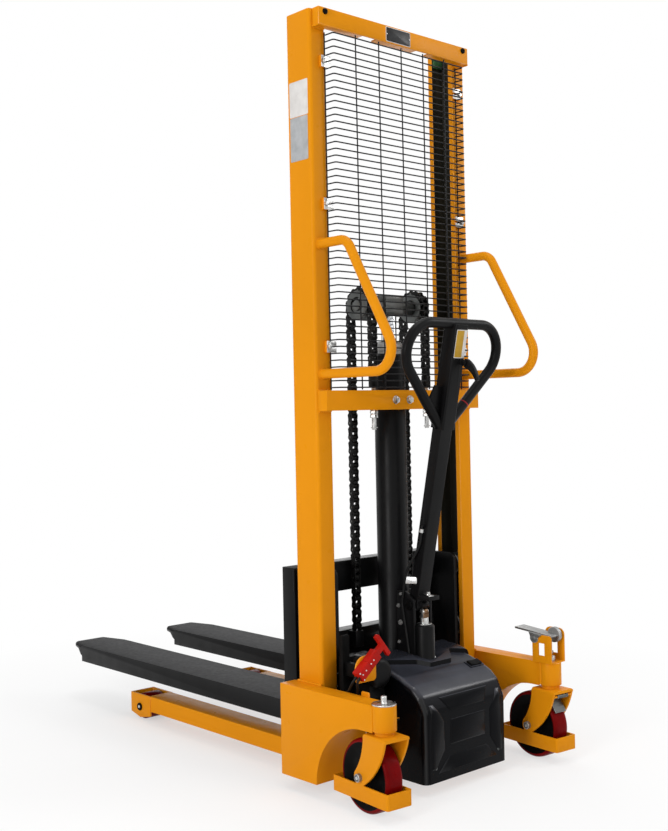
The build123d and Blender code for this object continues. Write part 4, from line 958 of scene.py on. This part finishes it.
class STACKER_OT_guard(Operator):
    """Coated wire guard and its clips."""

    bl_idname = "stacker.guard"
    bl_label = "Wire guard"

    def execute(self, context):
        dress("wire_guard", ("wire_coat",))

        def bolt_face(place, normal):
            return place.y < CLIP_BOLT_Y

        dress("guard_clips", PAINTED + ("plated_steel",), CLIP_ROUND, bolt_face)
        bm = bmesh.new()
        for x in (-258.55, 264.95):
            for z in (1874.6, 1505.0, 1135.4):
                add_shape(bm, hex_head(12.0, 4.2, 6.8), facing(spot(x, -9.0, z), REAR, (0.3, 0, 1)))
        settle("guard_bolts", bm, ("plated_steel",), "base")
        return {"FINISHED"}


def chain_link(pitch, wide):
    """One chain link along Y about its first pin: two waisted plates, roller and pin."""
    bm = bmesh.new()
    ring = bmesh.ops.create_circle(bm, cap_ends=True, radius=LINK_END, segments=12)["verts"]
    bmesh.ops.rotate(bm, verts=ring, cent=(0, 0, 0), matrix=Matrix.Rotation(LINK_TURN, 3, "Z"))
    bmesh.ops.translate(bm, verts=[v for v in ring if v.co.y > 0], vec=(0, pitch, 0))
    sides = [e for e in bm.edges if e.calc_length() > LINK_SIDE_SHARE * pitch]
    bmesh.ops.subdivide_edges(bm, edges=sides, cuts=1)
    for vert in bm.verts:
        if abs(vert.co.y - pitch / 2) < LINK_MIDDLE:
            vert.co.x *= LINK_WAIST
    thicken(bm, bm.faces[:], LINK_THICK)
    bmesh.ops.translate(bm, verts=bm.verts, vec=(0, 0, OUTER_GAP if wide else INNER_GAP))
    bmesh.ops.mirror(bm, geom=bm.verts[:] + bm.edges[:] + bm.faces[:], axis="Z", merge_dist=-1.0)
    add_rod(bm, 10, ROLLER_RADIUS, ROLLER_WIDTH, caps=False)
    pin = add_rod(bm, 8, PIN_RADIUS, PIN_LENGTH)
    bmesh.ops.recalc_face_normals(bm, faces=bm.faces)
    for face in {face for vert in pin for face in vert.link_faces if wide}:
        face.material_index = 1
    return bm


def make_chains(sizes):
    pitch = sizes.pitch * 1000
    step = 2 * math.asin(pitch / 2 / CHAIN_RADIUS)
    angles = [math.pi / 2 + (index - WRAP_PINS // 2) * step for index in range(WRAP_PINS)]
    wrap = [
        (LIFT_Y + CHAIN_RADIUS * math.cos(angle), CROSSHEAD_Z + CHAIN_RADIUS * math.sin(angle))
        for angle in angles
    ]
    first_z = wrap[0][1] - pitch
    front = [(LIFT_Y + CHAIN_RADIUS, first_z - pitch * i) for i in range(FRONT_PINS)]
    rear = [(LIFT_Y - CHAIN_RADIUS, first_z - pitch * i) for i in range(REAR_PINS)]
    kinds = []
    for wide in (True, False):
        shape = chain_link(sizes.pitch, wide)
        kinds.append(bpy.data.meshes.new("chain_link"))
        shape.to_mesh(kinds[-1])
        shape.free()
    lift_piece = make_strands("lift_chain_links", front[::-1] + wrap, kinds, ("lift_chain_runs",))
    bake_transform(lift_piece)
    hold_piece = make_strands("anchor_chain_links", wrap[-1:] + rear, kinds, ("anchor_chain_runs",))
    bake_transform(hold_piece)
    for mesh in kinds:
        bpy.data.meshes.remove(mesh)


def make_strands(name, pins, kinds, nodes):
    """Left and right strand through the pins, with wide and narrow links by turns."""
    bm = bmesh.new()
    across = Vector(RIGHT)
    for x in (-CHAIN_X, CHAIN_X):
        for index, (low, high) in enumerate(zip(pins, pins[1:])):
            start = spot(x, *low)
            along = (spot(x, *high) - start).normalized()
            first = len(bm.verts)
            bm.from_mesh(kinds[index % 2])
            bm.verts.ensure_lookup_table()
            place = Matrix.Translation(start) @ axes(along.cross(across), along, across)
            bmesh.ops.transform(bm, matrix=place, verts=bm.verts[first:])
    finishes = ("chain_steel", "ground_steel")
    return settle(name, bm, finishes, None, nodes, smooth=CHAIN_DEGREES)


class STACKER_OT_lift(Operator):
    """Lift cylinder, ram, crosshead, chain wheels, anchors and the linked chains."""

    bl_idname = "stacker.lift"
    bl_label = "Lift and chains"

    def execute(self, context):
        sizes = context.scene.stacker_sizes
        dress("lift_cylinder", ENAMELLED, TUBE_ROUND)
        gland = (
            (0, 36.5), (9, 36.5), (10, 35.2), (12, 35.2), (13, 36.5), (30, 36.5), (33, 33.5), (36, 33.5),
            (36, 29.0), (33.5, 28.0), (33.5, 24.5), (36, 24.0), (36, 22.6), (0, 22.6),
        )
        place = standing(0, LIFT_Y, 1120.0)
        stand_in("cylinder_gland", turned(gland, sizes.turns), ("satin_steel",), place)
        dress("lift_ram", ("chrome_rod",) * 2, SMALL_ROUND)

        def axle_end(place, normal):
            return abs(place.x) > CROSSHEAD_END_X

        # The ring round the shaft end, sunk in each chain wheel, takes the near-black wheel core finish as
        # painted shade
        def recess_in_painted_shade(place, normal):
            return RECESS_INNER < math.hypot(place.y - LIFT_Y, place.z - CROSSHEAD_Z) < RECESS_OUTER

        def oily(place, normal):
            return place.z > OILY_Z

        dress("crosshead", ("ground_steel", "ground_steel", "pulley_steel"), SOFT_ROUND, axle_end)
        for node in ("left_chain_wheel", "right_chain_wheel"):
            dress(node, ("pulley_steel", "ground_steel", "wheel_core"), FINE_ROUND, recess_in_painted_shade)
        dress("chain_anchors", ("plated_steel", "plated_steel", "chain_steel"), THREAD_ROUND, oily)
        make_chains(sizes)
        return {"FINISHED"}


class STACKER_OT_carriage(Operator):
    """Carriage frame, forks and mast rollers."""

    bl_idname = "stacker.carriage"
    bl_label = "Carriage and forks"

    def execute(self, context):
        sizes = context.scene.stacker_sizes
        dress("carriage_frame", ENAMELLED, sizes.edge * FOLD_EDGE)

        # Faces that look up keep the lighter fork finish, a painted reflection; the flanks take the plain
        # black enamel
        def flank(place, normal):
            return normal.z < FORK_TOP_NORMAL

        finishes = ("fork_enamel", "fork_edge", "black_enamel")
        for node in ("left_fork", "right_fork"):
            dress(node, finishes, sizes.edge * BAR_EDGE, flank, 3)
        for node in ("upper_mast_rollers", "lower_mast_rollers"):
            dress(node, ("pulley_steel", "plated_steel"), FINE_ROUND)
        small = sizes.bead * SMALL_BEAD
        runs = [(small, (223.0, 97.0, z), (223.0, 139.0, z)) for z in (482.0, 562.0, 280.0, 374.0)]
        runs += [(sizes.bead, (x, 141.0, 490.0), (x, 141.0, 548.0)) for x in (110.0, 265.0)]
        weld_both_sides("carriage_welds", runs, "black_enamel", "carriage")
        return {"FINISHED"}


class STACKER_OT_base(Operator):
    """Base boxes, crossbeam, legs and load rollers."""

    bl_idname = "stacker.base"
    bl_label = "Base and legs"

    def execute(self, context):
        sizes = context.scene.stacker_sizes

        # The inner end of the left box's arch lining, seen through the arch, takes the near-black wheel core
        # finish as painted shade
        def lining_in_painted_shade(place, normal):
            return place.x > LINING_X and place.y < LINING_Y and place.z < LINING_Z

        broad = high_runs(0.1, 0.2675)
        lined = PAINTED + ("wheel_core",)
        dress("left_base_box", lined, sizes.edge * HEAVY_EDGE, lining_in_painted_shade, 3, broad)
        dress("right_base_box", PAINTED, sizes.edge * HEAVY_EDGE, None, 3, broad)
        dress("base_crossbeam", PAINTED, sizes.edge * FOLD_EDGE)
        for node in ("left_leg", "right_leg"):
            dress(node, PAINTED, sizes.edge * HEAVY_EDGE, None, 3)
        roller = both_ends((
            (27, 40.0), (29.5, 39.2), (31, 36.5), (31, 31.0), (30, 30.0), (26, 29.0), (25, 20.0), (30, 18.5),
            (30, 12.0), (29, 10.1),
        ))
        axles = bmesh.new()
        for _, side in SIDES:
            add_shape(axles, axle(48.0, 5.0, 11.8, 10.0), at(side * LOAD_X, LOAD_Y, LOAD_Z))
        ring_finishes(axles, ((AXLE_CENTRE, 1), (FAR, 0)), spot(0, LOAD_Y, LOAD_Z))
        stand_in("load_axles", axles, AXLE)
        for word, side in SIDES:
            bm = turned(roller, sizes.turns)
            ring_finishes(bm, ((LOAD_CORE, 1), (FAR, 0)))
            place = at(side * LOAD_X, LOAD_Y, LOAD_Z)
            stand_in(word + "_load_roller", bm, ("urethane_tread", "wheel_core"), place)
        return {"FINISHED"}


def make_wheel(word, place, steps):
    """Treaded wheel with its core and hub, and the axle through it."""
    bm = axle(47.9, 9.9, 10.2, 8.0)
    ring_finishes(bm, ((AXLE_CENTRE, 1), (AXLE_RIM, 0), (FAR, 2)))
    stand_in(word + "_caster_axle", bm, AXLE, place)
    half = (
        (0, 90.0), (14, 89.9), (19, 89.3), (22.6, 87.2), (24.6, 84.6), (25, 82.0),
        (24.6, 80.6), (24.0, 79.8), (22.0, 77.0), (17.0, 68.0), (13.6, 60.0), (13.0, 54.0), (13.0, 36.0),
        (14.5, 30.0), (20.0, 26.0), (28.0, 24.0), (30.0, 22.0), (30.0, 14.5), (28.4, 13.4), (28.4, 8.1),
    )
    bm = turned(both_ends(half), steps)
    ring_finishes(bm, ((HUB_RADIUS, 2), (CORE_RADIUS, 1), (FAR, 0)))
    finishes = ("urethane_tread", "wheel_core", "plated_steel")
    stand_in(word + "_caster_wheel", bm, finishes, place)


def make_pedal_fittings(steps):
    """Drum beside the cam, the eye that hangs from the pedal's left edge, and the rod's collar."""
    bm = bmesh.new()
    drum = turned(both_ends(((6.0, 3.0), (6.0, 19.5), (4.5, 21.0))), steps)
    add_shape(bm, drum, at(332.0, -257.0, 342.0))
    eye = turned(both_ends(((1.9, 6.0), (1.9, 12.5), (1.0, 13.4))), 40)
    add_shape(bm, eye, at(286.8, -221.0, 334.0))
    web = (
        (246.0, 344.5), (232.0, 334.0), (226.0, 341.5), (216.0, 341.5), (210.0, 334.0),
        (203.0, 349.6), (246.0, 345.6),
    )
    add_shape(bm, outline_slab(web, 3.6, 0.6), facing(spot(288.6, 0, 0), LEFT))
    settle("pedal_fittings", bm, ("satin_steel",), "brake_pedal")
    bm = turned(((0, 6.8), (0, 15.0), (9.5, 15.0), (11.0, 13.5), (11.0, 6.8)), steps)
    place = standing(SWIVEL_X, SWIVEL_Y, 272.0)
    settle("rod_collar", bm, ("plated_steel",), "base", (), place)


class STACKER_OT_casters(Operator):
    """Swivel barrels, caster forks, treaded wheels and the foot brake."""

    bl_idname = "stacker.casters"
    bl_label = "Swivel wheels and brake"

    def execute(self, context):
        sizes = context.scene.stacker_sizes
        broad = high_runs(0.03, 0.1965)
        for word, side in SIDES:
            dress(word + "_swivel_barrel", PAINTED, SOFT_ROUND)
            dress(word + "_caster_fork", PAINTED, sizes.edge * CASTER_EDGE, None, 3, broad)
            make_wheel(word, at_wheel(side), sizes.turns + WHEEL_EXTRA_STEPS)
        dress("left_swivel_cap", ("plated_steel",) * 2, FINE_ROUND)

        def pin_end(place, normal):
            return place.x < BRAKE_PIN_X

        dress("brake_bracket", PAINTED + ("satin_steel",), sizes.edge * THIN_EDGE, pin_end)
        dress("brake_pedal", ("satin_steel", "plated_steel"), PEDAL_ROUND)
        make_pedal_fittings(sizes.turns)
        dress("brake_rod", ("plated_steel",) * 2, FINE_ROUND)
        dress("brake_plate", ("ground_steel", "satin_steel"), FINE_ROUND)
        runs = [
            (sizes.bead, (SWIVEL_X + offset, -235.0, 208.0), (SWIVEL_X + offset, -235.0, 266.0))
            for offset in (-27.0, 27.0)
        ]
        weld_both_sides("barrel_welds", runs, "machine_paint", "base")
        return {"FINISHED"}


def make_tiller_fittings(steps):
    """Bare plate, fittings, gusset and band on the tiller, and the pump's collar."""
    lean = Matrix.Rotation(TILLER_LEAN, 3, "X")
    rear = lean @ Vector(REAR)
    along = lean @ Vector(UP)
    bm = bmesh.new()
    label = facing(on_tiller(0.0, -23.0, 710.0), rear, along)
    add_shape(bm, slab(40.0, 74.0, 0.5, 2.0, 0.2), label, 0)
    patch = facing(on_tiller(-5.0, -23.5, 710.0), rear, along)
    add_shape(bm, slab(27.0, 70.0, 0.2, 1.5, 0.1), patch, 1)
    settle("tiller_plate", bm, ("pale_plate", "amber_plate"), "tiller")
    bm = bmesh.new()
    plate_outline = ((-18.0, -116.0), (0.0, -117.0), (19.0, -77.0), (3.0, -77.0))
    add_shape(bm, outline_slab(plate_outline, 1.6, 0.5), at(0, 0, 473.0))
    add_shape(bm, hex_head(10.0, 6.0, 7.0), at(0.0, -96.0, 474.6))
    strap = facing(spot(-29.0, -62.0, 513.0), (-0.88, -0.47, 0))
    add_shape(bm, slab(34.0, 18.0, 3.0, 3.0, 0.8), strap)
    settle("tiller_fittings", bm, ("plated_steel",), "tiller")
    collar = turned(((0.0, 11.8), (0.0, 20.5), (1.4, 20.5), (2.2, 19.6), (2.2, 11.8)), steps)
    place = standing(0, PUMP_Y, 395.0)
    settle("pump_collar", collar, ("plated_steel",), "base", (), place)
    gusset = ((-23.0, 498.0), (-23.0, 594.0), (-50.0, 598.0), (-66.0, 560.0))
    place = facing(on_tiller(0.0, 4.0, 0.0), rear, along)
    settle("tiller_gusset", outline_slab(gusset, 6.0, 0.8), ENAMELLED, "tiller", (), place)
    low = on_tiller(16.0, 0.0, 490.0)
    axis = (on_tiller(269.0, 0.0, 759.6) - low).normalized()
    band = turned(both_ends(((1.6, 13.5), (1.6, 13.75))), 40)
    place = laid(low + axis * BAND_UP / 1000, RIGHT, axis)
    settle("loop_band", band, ("red_band",), "tiller", (), place)


def make_bracket_bolts():
    bm = bmesh.new()
    for y, z, across in (
        (-29.0, 474.0, 7.0), (-20.0, 442.0, 8.0), (-26.3, 397.4, 11.0), (-20.5, 345.0, 7.0),
    ):
        for _, side in SIDES:
            place = facing(spot(side * 35.0, y, z), (side, 0, 0), (0, 0.3, 1))
            add_shape(bm, hex_head(across, 3.4, across * WASHER_SHARE), place)
    settle("bracket_bolts", bm, ("satin_steel",), "base")


def make_release_cable():
    route = (
        spot(-39.0, -62.0, 302.0), spot(-39.0, -55.5, 348.0), spot(-39.0, -43.5, 414.0),
        spot(-39.0, -36.5, 454.0), spot(-39.0, -44.0, 486.0), spot(-39.0, -48.0, 512.0),
        on_tiller(-38.7, 25.0, 84.0), on_tiller(-33.0, 12.0, 126.0), on_tiller(-26.7, -1.5, 166.0),
        on_tiller(-26.7, -1.0, 194.0), on_tiller(-26.7, 0.0, 220.0),
    )
    bm = bmesh.new()
    add_cable(bm, route, CABLE_RADIUS)
    nodes = ("release_cable", "tiller_cable")
    piece = settle("release_cable_run", bm, ("cable_sheath",), None, nodes)
    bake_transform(piece)
    bm = bmesh.new()
    ring = turned(both_ends(((5, 3.6), (5, 5.2), (4, 6.0))), 24)
    tilt = Matrix.Rotation(TILLER_LEAN, 4, "X") @ Matrix.Rotation(-math.pi / 2, 4, "Y")
    add_shape(bm, ring, Matrix.Translation(on_tiller(-26.7, -0.4, 206.0)) @ tilt)
    strap = slab(10.0, 10.0, 2.0, 1.0, 0.4)
    add_shape(bm, strap, facing(on_tiller(-23.0, -0.4, 206.0), LEFT))
    settle("cable_clamp", bm, ("plated_steel",), "tiller")


class STACKER_OT_tiller(Operator):
    """Hand pump, tiller with its loop, finger lever, release cable and small fittings."""

    bl_idname = "stacker.tiller"
    bl_label = "Tiller and pump"

    def execute(self, context):
        sizes = context.scene.stacker_sizes
        dress("tiller", ENAMELLED, sizes.edge)
        dress("finger_lever", ENAMELLED, SMALL_ROUND)
        dress("tiller_bracket", ENAMELLED, sizes.edge)
        dress("tiller_pivot_pin", ("wheel_core",) * 2, SMALL_ROUND)
        dress("pump_body", ENAMELLED, SOFT_ROUND)

        def roller_face(place, normal):
            rise = place.z - PUMP_ROLLER_Z
            out = math.hypot(place.y - PUMP_Y, rise)
            return abs(place.x) < PUMP_ROLLER_HALF and out > PUMP_ROLLER_BORE and rise > -PUMP_ROLLER_DROP

        finishes = ("plated_steel", "plated_steel", "roller_bronze")
        dress("pump_plunger", finishes, FINE_ROUND, roller_face)
        make_tiller_fittings(sizes.turns)
        make_bracket_bolts()
        make_release_cable()
        return {"FINISHED"}


def make_cover_pattern():
    """Raised fields on the cover's rear, with grooves left between them."""
    side = ((88.0, 106.0), (88.0, 178.0), (121.0, 226.0), (136.0, 226.0), (136.0, 64.0), (120.0, 64.0))
    fields = (
        ((-112.0, 52.0), (-69.0, 90.0), (70.0, 90.0), (114.0, 52.0)),
        ((-65.0, 117.0), (-65.0, 180.0), (67.0, 180.0), (67.0, 117.0)),
        side,
        tuple((-x, z) for x, z in side),
        ((-66.0, 203.0), (-92.0, 240.0), (92.0, 240.0), (66.0, 203.0)),
    )
    bm = bmesh.new()
    for outline in fields:
        add_shape(bm, raised_field(outline), facing(spot(0, -226.0, 0), REAR))
    settle("cover_pattern", bm, ("moulded_cover",), "base")


def raised_field(outline):
    """Raised field, bent forward with the cover above its upright part."""
    bm = outline_slab(outline, FIELD_EDGE)
    top = max(bm.faces, key=lambda face: face.calc_center_median().z)
    depth = (COVER_RAISE - FIELD_EDGE) / 1000
    bmesh.ops.inset_individual(bm, faces=[top], thickness=FIELD_DRAFT / 1000, depth=depth)
    for step in range(COVER_CUTS):
        cut = Vector((0, (COVER_UPRIGHT + step * COVER_CUT_STEP) / 1000, 0))
        geom = bm.verts[:] + bm.edges[:] + bm.faces[:]
        bmesh.ops.bisect_plane(bm, geom=geom, plane_co=cut, plane_no=FRONT)
    upright = COVER_UPRIGHT / 1000
    bend = COVER_BEND / 1000
    for vert in bm.verts:
        past = vert.co.y - upright
        if past > 0:
            angle = min(past / bend, COVER_SLOPE)
            rest = past - angle * bend
            out = bend + vert.co.z
            vert.co.y = upright + out * math.sin(angle) + rest * math.cos(angle)
            vert.co.z = out * math.cos(angle) - rest * math.sin(angle) - bend
    return bm


class STACKER_OT_cover(Operator):
    """Moulded cover with its raised rear pattern, and the rocker switch."""

    bl_idname = "stacker.cover"
    bl_label = "Cover and switch"

    def execute(self, context):
        dress("base_cover", ("moulded_cover",) * 2, COVER_ROUND, None, 3)
        dress("rocker_switch", ("wheel_core",) * 2, THREAD_ROUND)
        make_cover_pattern()
        bm = bmesh.new()
        for x in (-120.0, 120.0):
            add_shape(bm, dome_head(4.0, 2.4, 1.5), facing(spot(x, -225.6, 66.0), REAR))
        settle("cover_screws", bm, ("pulley_steel",), "base")
        return {"FINISHED"}


def make_rivets():
    place = at(*HOUSING) @ Matrix.Rotation(HOUSING_LEAN, 4, "Y")
    turn = Matrix.Rotation(math.pi / 2, 4, "X")
    for name, body, heads in (
        ("housing_rivets", "base", ((-11.0, 4.0), (11.0, 4.0), (-2.0, 9.0), (-2.0, 23.0))),
        ("plug_rivets", "plug", ((-2.0, 45.0), (-2.0, 57.0))),
    ):
        bm = bmesh.new()
        for x, along in heads:
            head = Matrix.Translation((x / 1000, RIVET_Y / 1000, along / 1000))
            add_shape(bm, dome_head(2.1, 1.4), place @ head @ turn)
        settle(name, bm, ("plated_steel",), body)


def make_leads():
    bm = bmesh.new()
    for route in (
        (
            (-302.2, -134.0, 311.8), (-312.9, -134.0, 303.2), (-291.0, -88.0, 262.0),
            (-262.0, -62.0, 255.0), (-262.0, -50.2, 255.0),
        ),
        (
            (-302.2, -146.0, 311.8), (-312.9, -146.0, 303.2), (-290.0, -128.0, 270.0),
            (-284.0, -95.0, 250.0), (-252.0, -62.0, 247.0), (-252.0, -50.2, 247.0),
        ),
    ):
        add_cable(bm, [spot(*point) for point in route], CABLE_RADIUS)
    settle("battery_lead_runs", bm, ("cable_sheath",), "base", ("battery_leads",))


class STACKER_OT_power(Operator):
    """Motor, connector halves on their plate, and the battery leads."""

    bl_idname = "stacker.power"
    bl_label = "Motor and connector"

    def execute(self, context):
        sizes = context.scene.stacker_sizes

        # The tank behind the motor and the arm behind the connector plate take the near-black wheel core
        # finish as painted shade
        def tank_in_painted_shade(place, normal):
            return place.y > TANK_Y

        def arm_in_painted_shade(place, normal):
            return place.y > ARM_Y

        dress("power_unit", ENAMELLED + ("wheel_core",), SOFT_ROUND, tank_in_painted_shade)
        dress("connector_plate", PAINTED + ("wheel_core",), sizes.edge * THIN_EDGE, arm_in_painted_shade)
        for node in ("connector_housing", "connector_plug"):
            dress(node, ("red_housing",) * 2, HOUSING_ROUND, None, 3)
        make_rivets()
        make_leads()
        return {"FINISHED"}


def make_floor(context):
    """Floor that keeps the machine's shadow and fades to white away from it."""
    bm = bmesh.new()
    bmesh.ops.create_grid(bm, x_segments=8, y_segments=8, size=FLOOR_HALF)
    bmesh.ops.translate(bm, verts=bm.verts, vec=(0, 0, -FLOOR_DROP))
    mesh = bpy.data.meshes.new("studio_floor")
    bm.to_mesh(mesh)
    bm.free()
    floor = bpy.data.objects.new("studio_floor", mesh)
    context.scene.collection.objects.link(floor)
    finish = Finish("studio_floor")
    tones = tones_of(context.scene.stacker_finishes, ("floor", 0.99, 1.01))
    pale = finish.tint(finish.grain(0.6, 3.0), *tones)
    finish.set({"Base Color": pale, "Roughness": 0.9, "Specular IOR Level": 0.0})
    reach = finish.add("VectorMath", {0: finish.place}, operation="LENGTH")["Value"]
    fade = finish.spread(reach, *FLOOR_FADE)
    share = finish.add("Math", {0: fade, 1: looked_at(finish.tree)}, operation="MULTIPLY")["Value"]
    white = finish.add("Emission", {"Color": WHITE, "Strength": 1.0})["Emission"]
    mix_to(finish.tree, "Material Output", share, finish.shader.outputs["BSDF"], white)
    mesh.materials.append(finish.material)


def make_surroundings(context):
    """Soft light all round, seen as plain white."""
    world = bpy.data.worlds.new("soft_studio")
    world.use_nodes = True
    tree = world.node_tree
    soft = tree.nodes["Background"]
    fill(tree, soft, {"Color": WHITE, "Strength": SOFT_LIGHT})
    white = add_node(tree, "Background", {"Color": WHITE, "Strength": 1.0})
    shaders = (node.outputs["Background"] for node in (soft, white))
    mix_to(tree, "World Output", looked_at(tree), *shaders)
    context.scene.world = world


def make_lamps(context):
    power = context.scene.stacker_sizes.lamp
    aim = spot(0, 0, 900.0)
    for name, place, extent, share in (
        ("key_left", spot(-4200, -900, 2000), (1.3, 3.2), 0.9),
        ("fill_rear", spot(600, -4600, 2200), (2.4, 2.4), 0.22),
        ("fill_right", spot(2900, -2000, 2900), (1.4, 1.4), 0.34),
        ("fill_front", spot(2600, 4200, 2600), (3.0, 3.0), 0.45),
        ("top_soft", spot(0, 200, 4600), (2.4, 2.4), 0.36),
        ("top_glint", spot(-300, -300, 4300), (0.5, 0.5), 0.12),
    ):
        lamp = bpy.data.lights.new(name, "AREA")
        lamp.energy = power * share
        lamp.shape = "RECTANGLE"
        lamp.size, lamp.size_y = extent
        holder = bpy.data.objects.new(name, lamp)
        holder.matrix_world = facing(place, place - aim, (0.01, 0, 1))
        context.scene.collection.objects.link(holder)


def make_camera(context):
    lens = bpy.data.cameras.new("photo_camera")
    lens.lens = 50.10
    lens.sensor_width = 36.0
    lens.shift_x = 0.00398
    lens.shift_y = -0.01805
    lens.clip_end = 200.0
    camera = bpy.data.objects.new("photo_camera", lens)
    right = Vector((0.74353, -0.66839, -0.02026))
    up = Vector((0.00902, -0.02026, 0.99975))
    back = Vector((-0.66864, -0.74353, -0.00903))
    camera.matrix_world = at(-2250.2, -2225.8, 969.6) @ axes(right, up, back)
    context.scene.collection.objects.link(camera)
    context.scene.camera = camera


class STACKER_OT_stage(Operator):
    """Pale floor, soft lamps, white surroundings and the camera."""

    bl_idname = "stacker.stage"
    bl_label = "Stage"

    def execute(self, context):
        make_floor(context)
        make_surroundings(context)
        make_lamps(context)
        make_camera(context)
        context.scene.view_settings.view_transform = "Standard"
        return {"FINISHED"}


class STACKER_PT_looks(Panel):
    """Sidebar panel with the stacker's builders."""

    bl_idname = "STACKER_PT_looks"
    bl_label = "Stacker"
    bl_space_type = "VIEW_3D"
    bl_region_type = "UI"
    bl_category = "Stacker"

    def draw(self, context):
        layout = self.layout
        for builder in BUILDERS:
            layout.operator(builder.bl_idname)
        for group in (context.scene.stacker_finishes, context.scene.stacker_sizes):
            box = layout.box()
            for name in group.bl_rna.properties.keys():
                if name not in ("rna_type", "name"):
                    box.prop(group, name)


BUILDERS = (
    STACKER_OT_mast, STACKER_OT_handles, STACKER_OT_guard, STACKER_OT_lift, STACKER_OT_carriage,
    STACKER_OT_base, STACKER_OT_casters, STACKER_OT_tiller, STACKER_OT_cover, STACKER_OT_power,
    STACKER_OT_stage,
)
CLASSES = (StackerFinishes, StackerSizes) + BUILDERS + (STACKER_PT_looks,)


def register():
    for entry in CLASSES:
        bpy.utils.register_class(entry)
    bpy.types.Scene.stacker_finishes = PointerProperty(type=StackerFinishes)
    bpy.types.Scene.stacker_sizes = PointerProperty(type=StackerSizes)


def unregister():
    del bpy.types.Scene.stacker_sizes
    del bpy.types.Scene.stacker_finishes
    for entry in reversed(CLASSES):
        bpy.utils.unregister_class(entry)


def main():
    register()
    bpy.ops.stacker.stage()
    bpy.ops.stacker.mast()
    bpy.ops.stacker.handles()
    bpy.ops.stacker.guard()
    bpy.ops.stacker.lift()
    bpy.ops.stacker.carriage()
    bpy.ops.stacker.base()
    bpy.ops.stacker.casters()
    bpy.ops.stacker.tiller()
    bpy.ops.stacker.cover()
    bpy.ops.stacker.power()


if __name__ == "__main__":
    main()
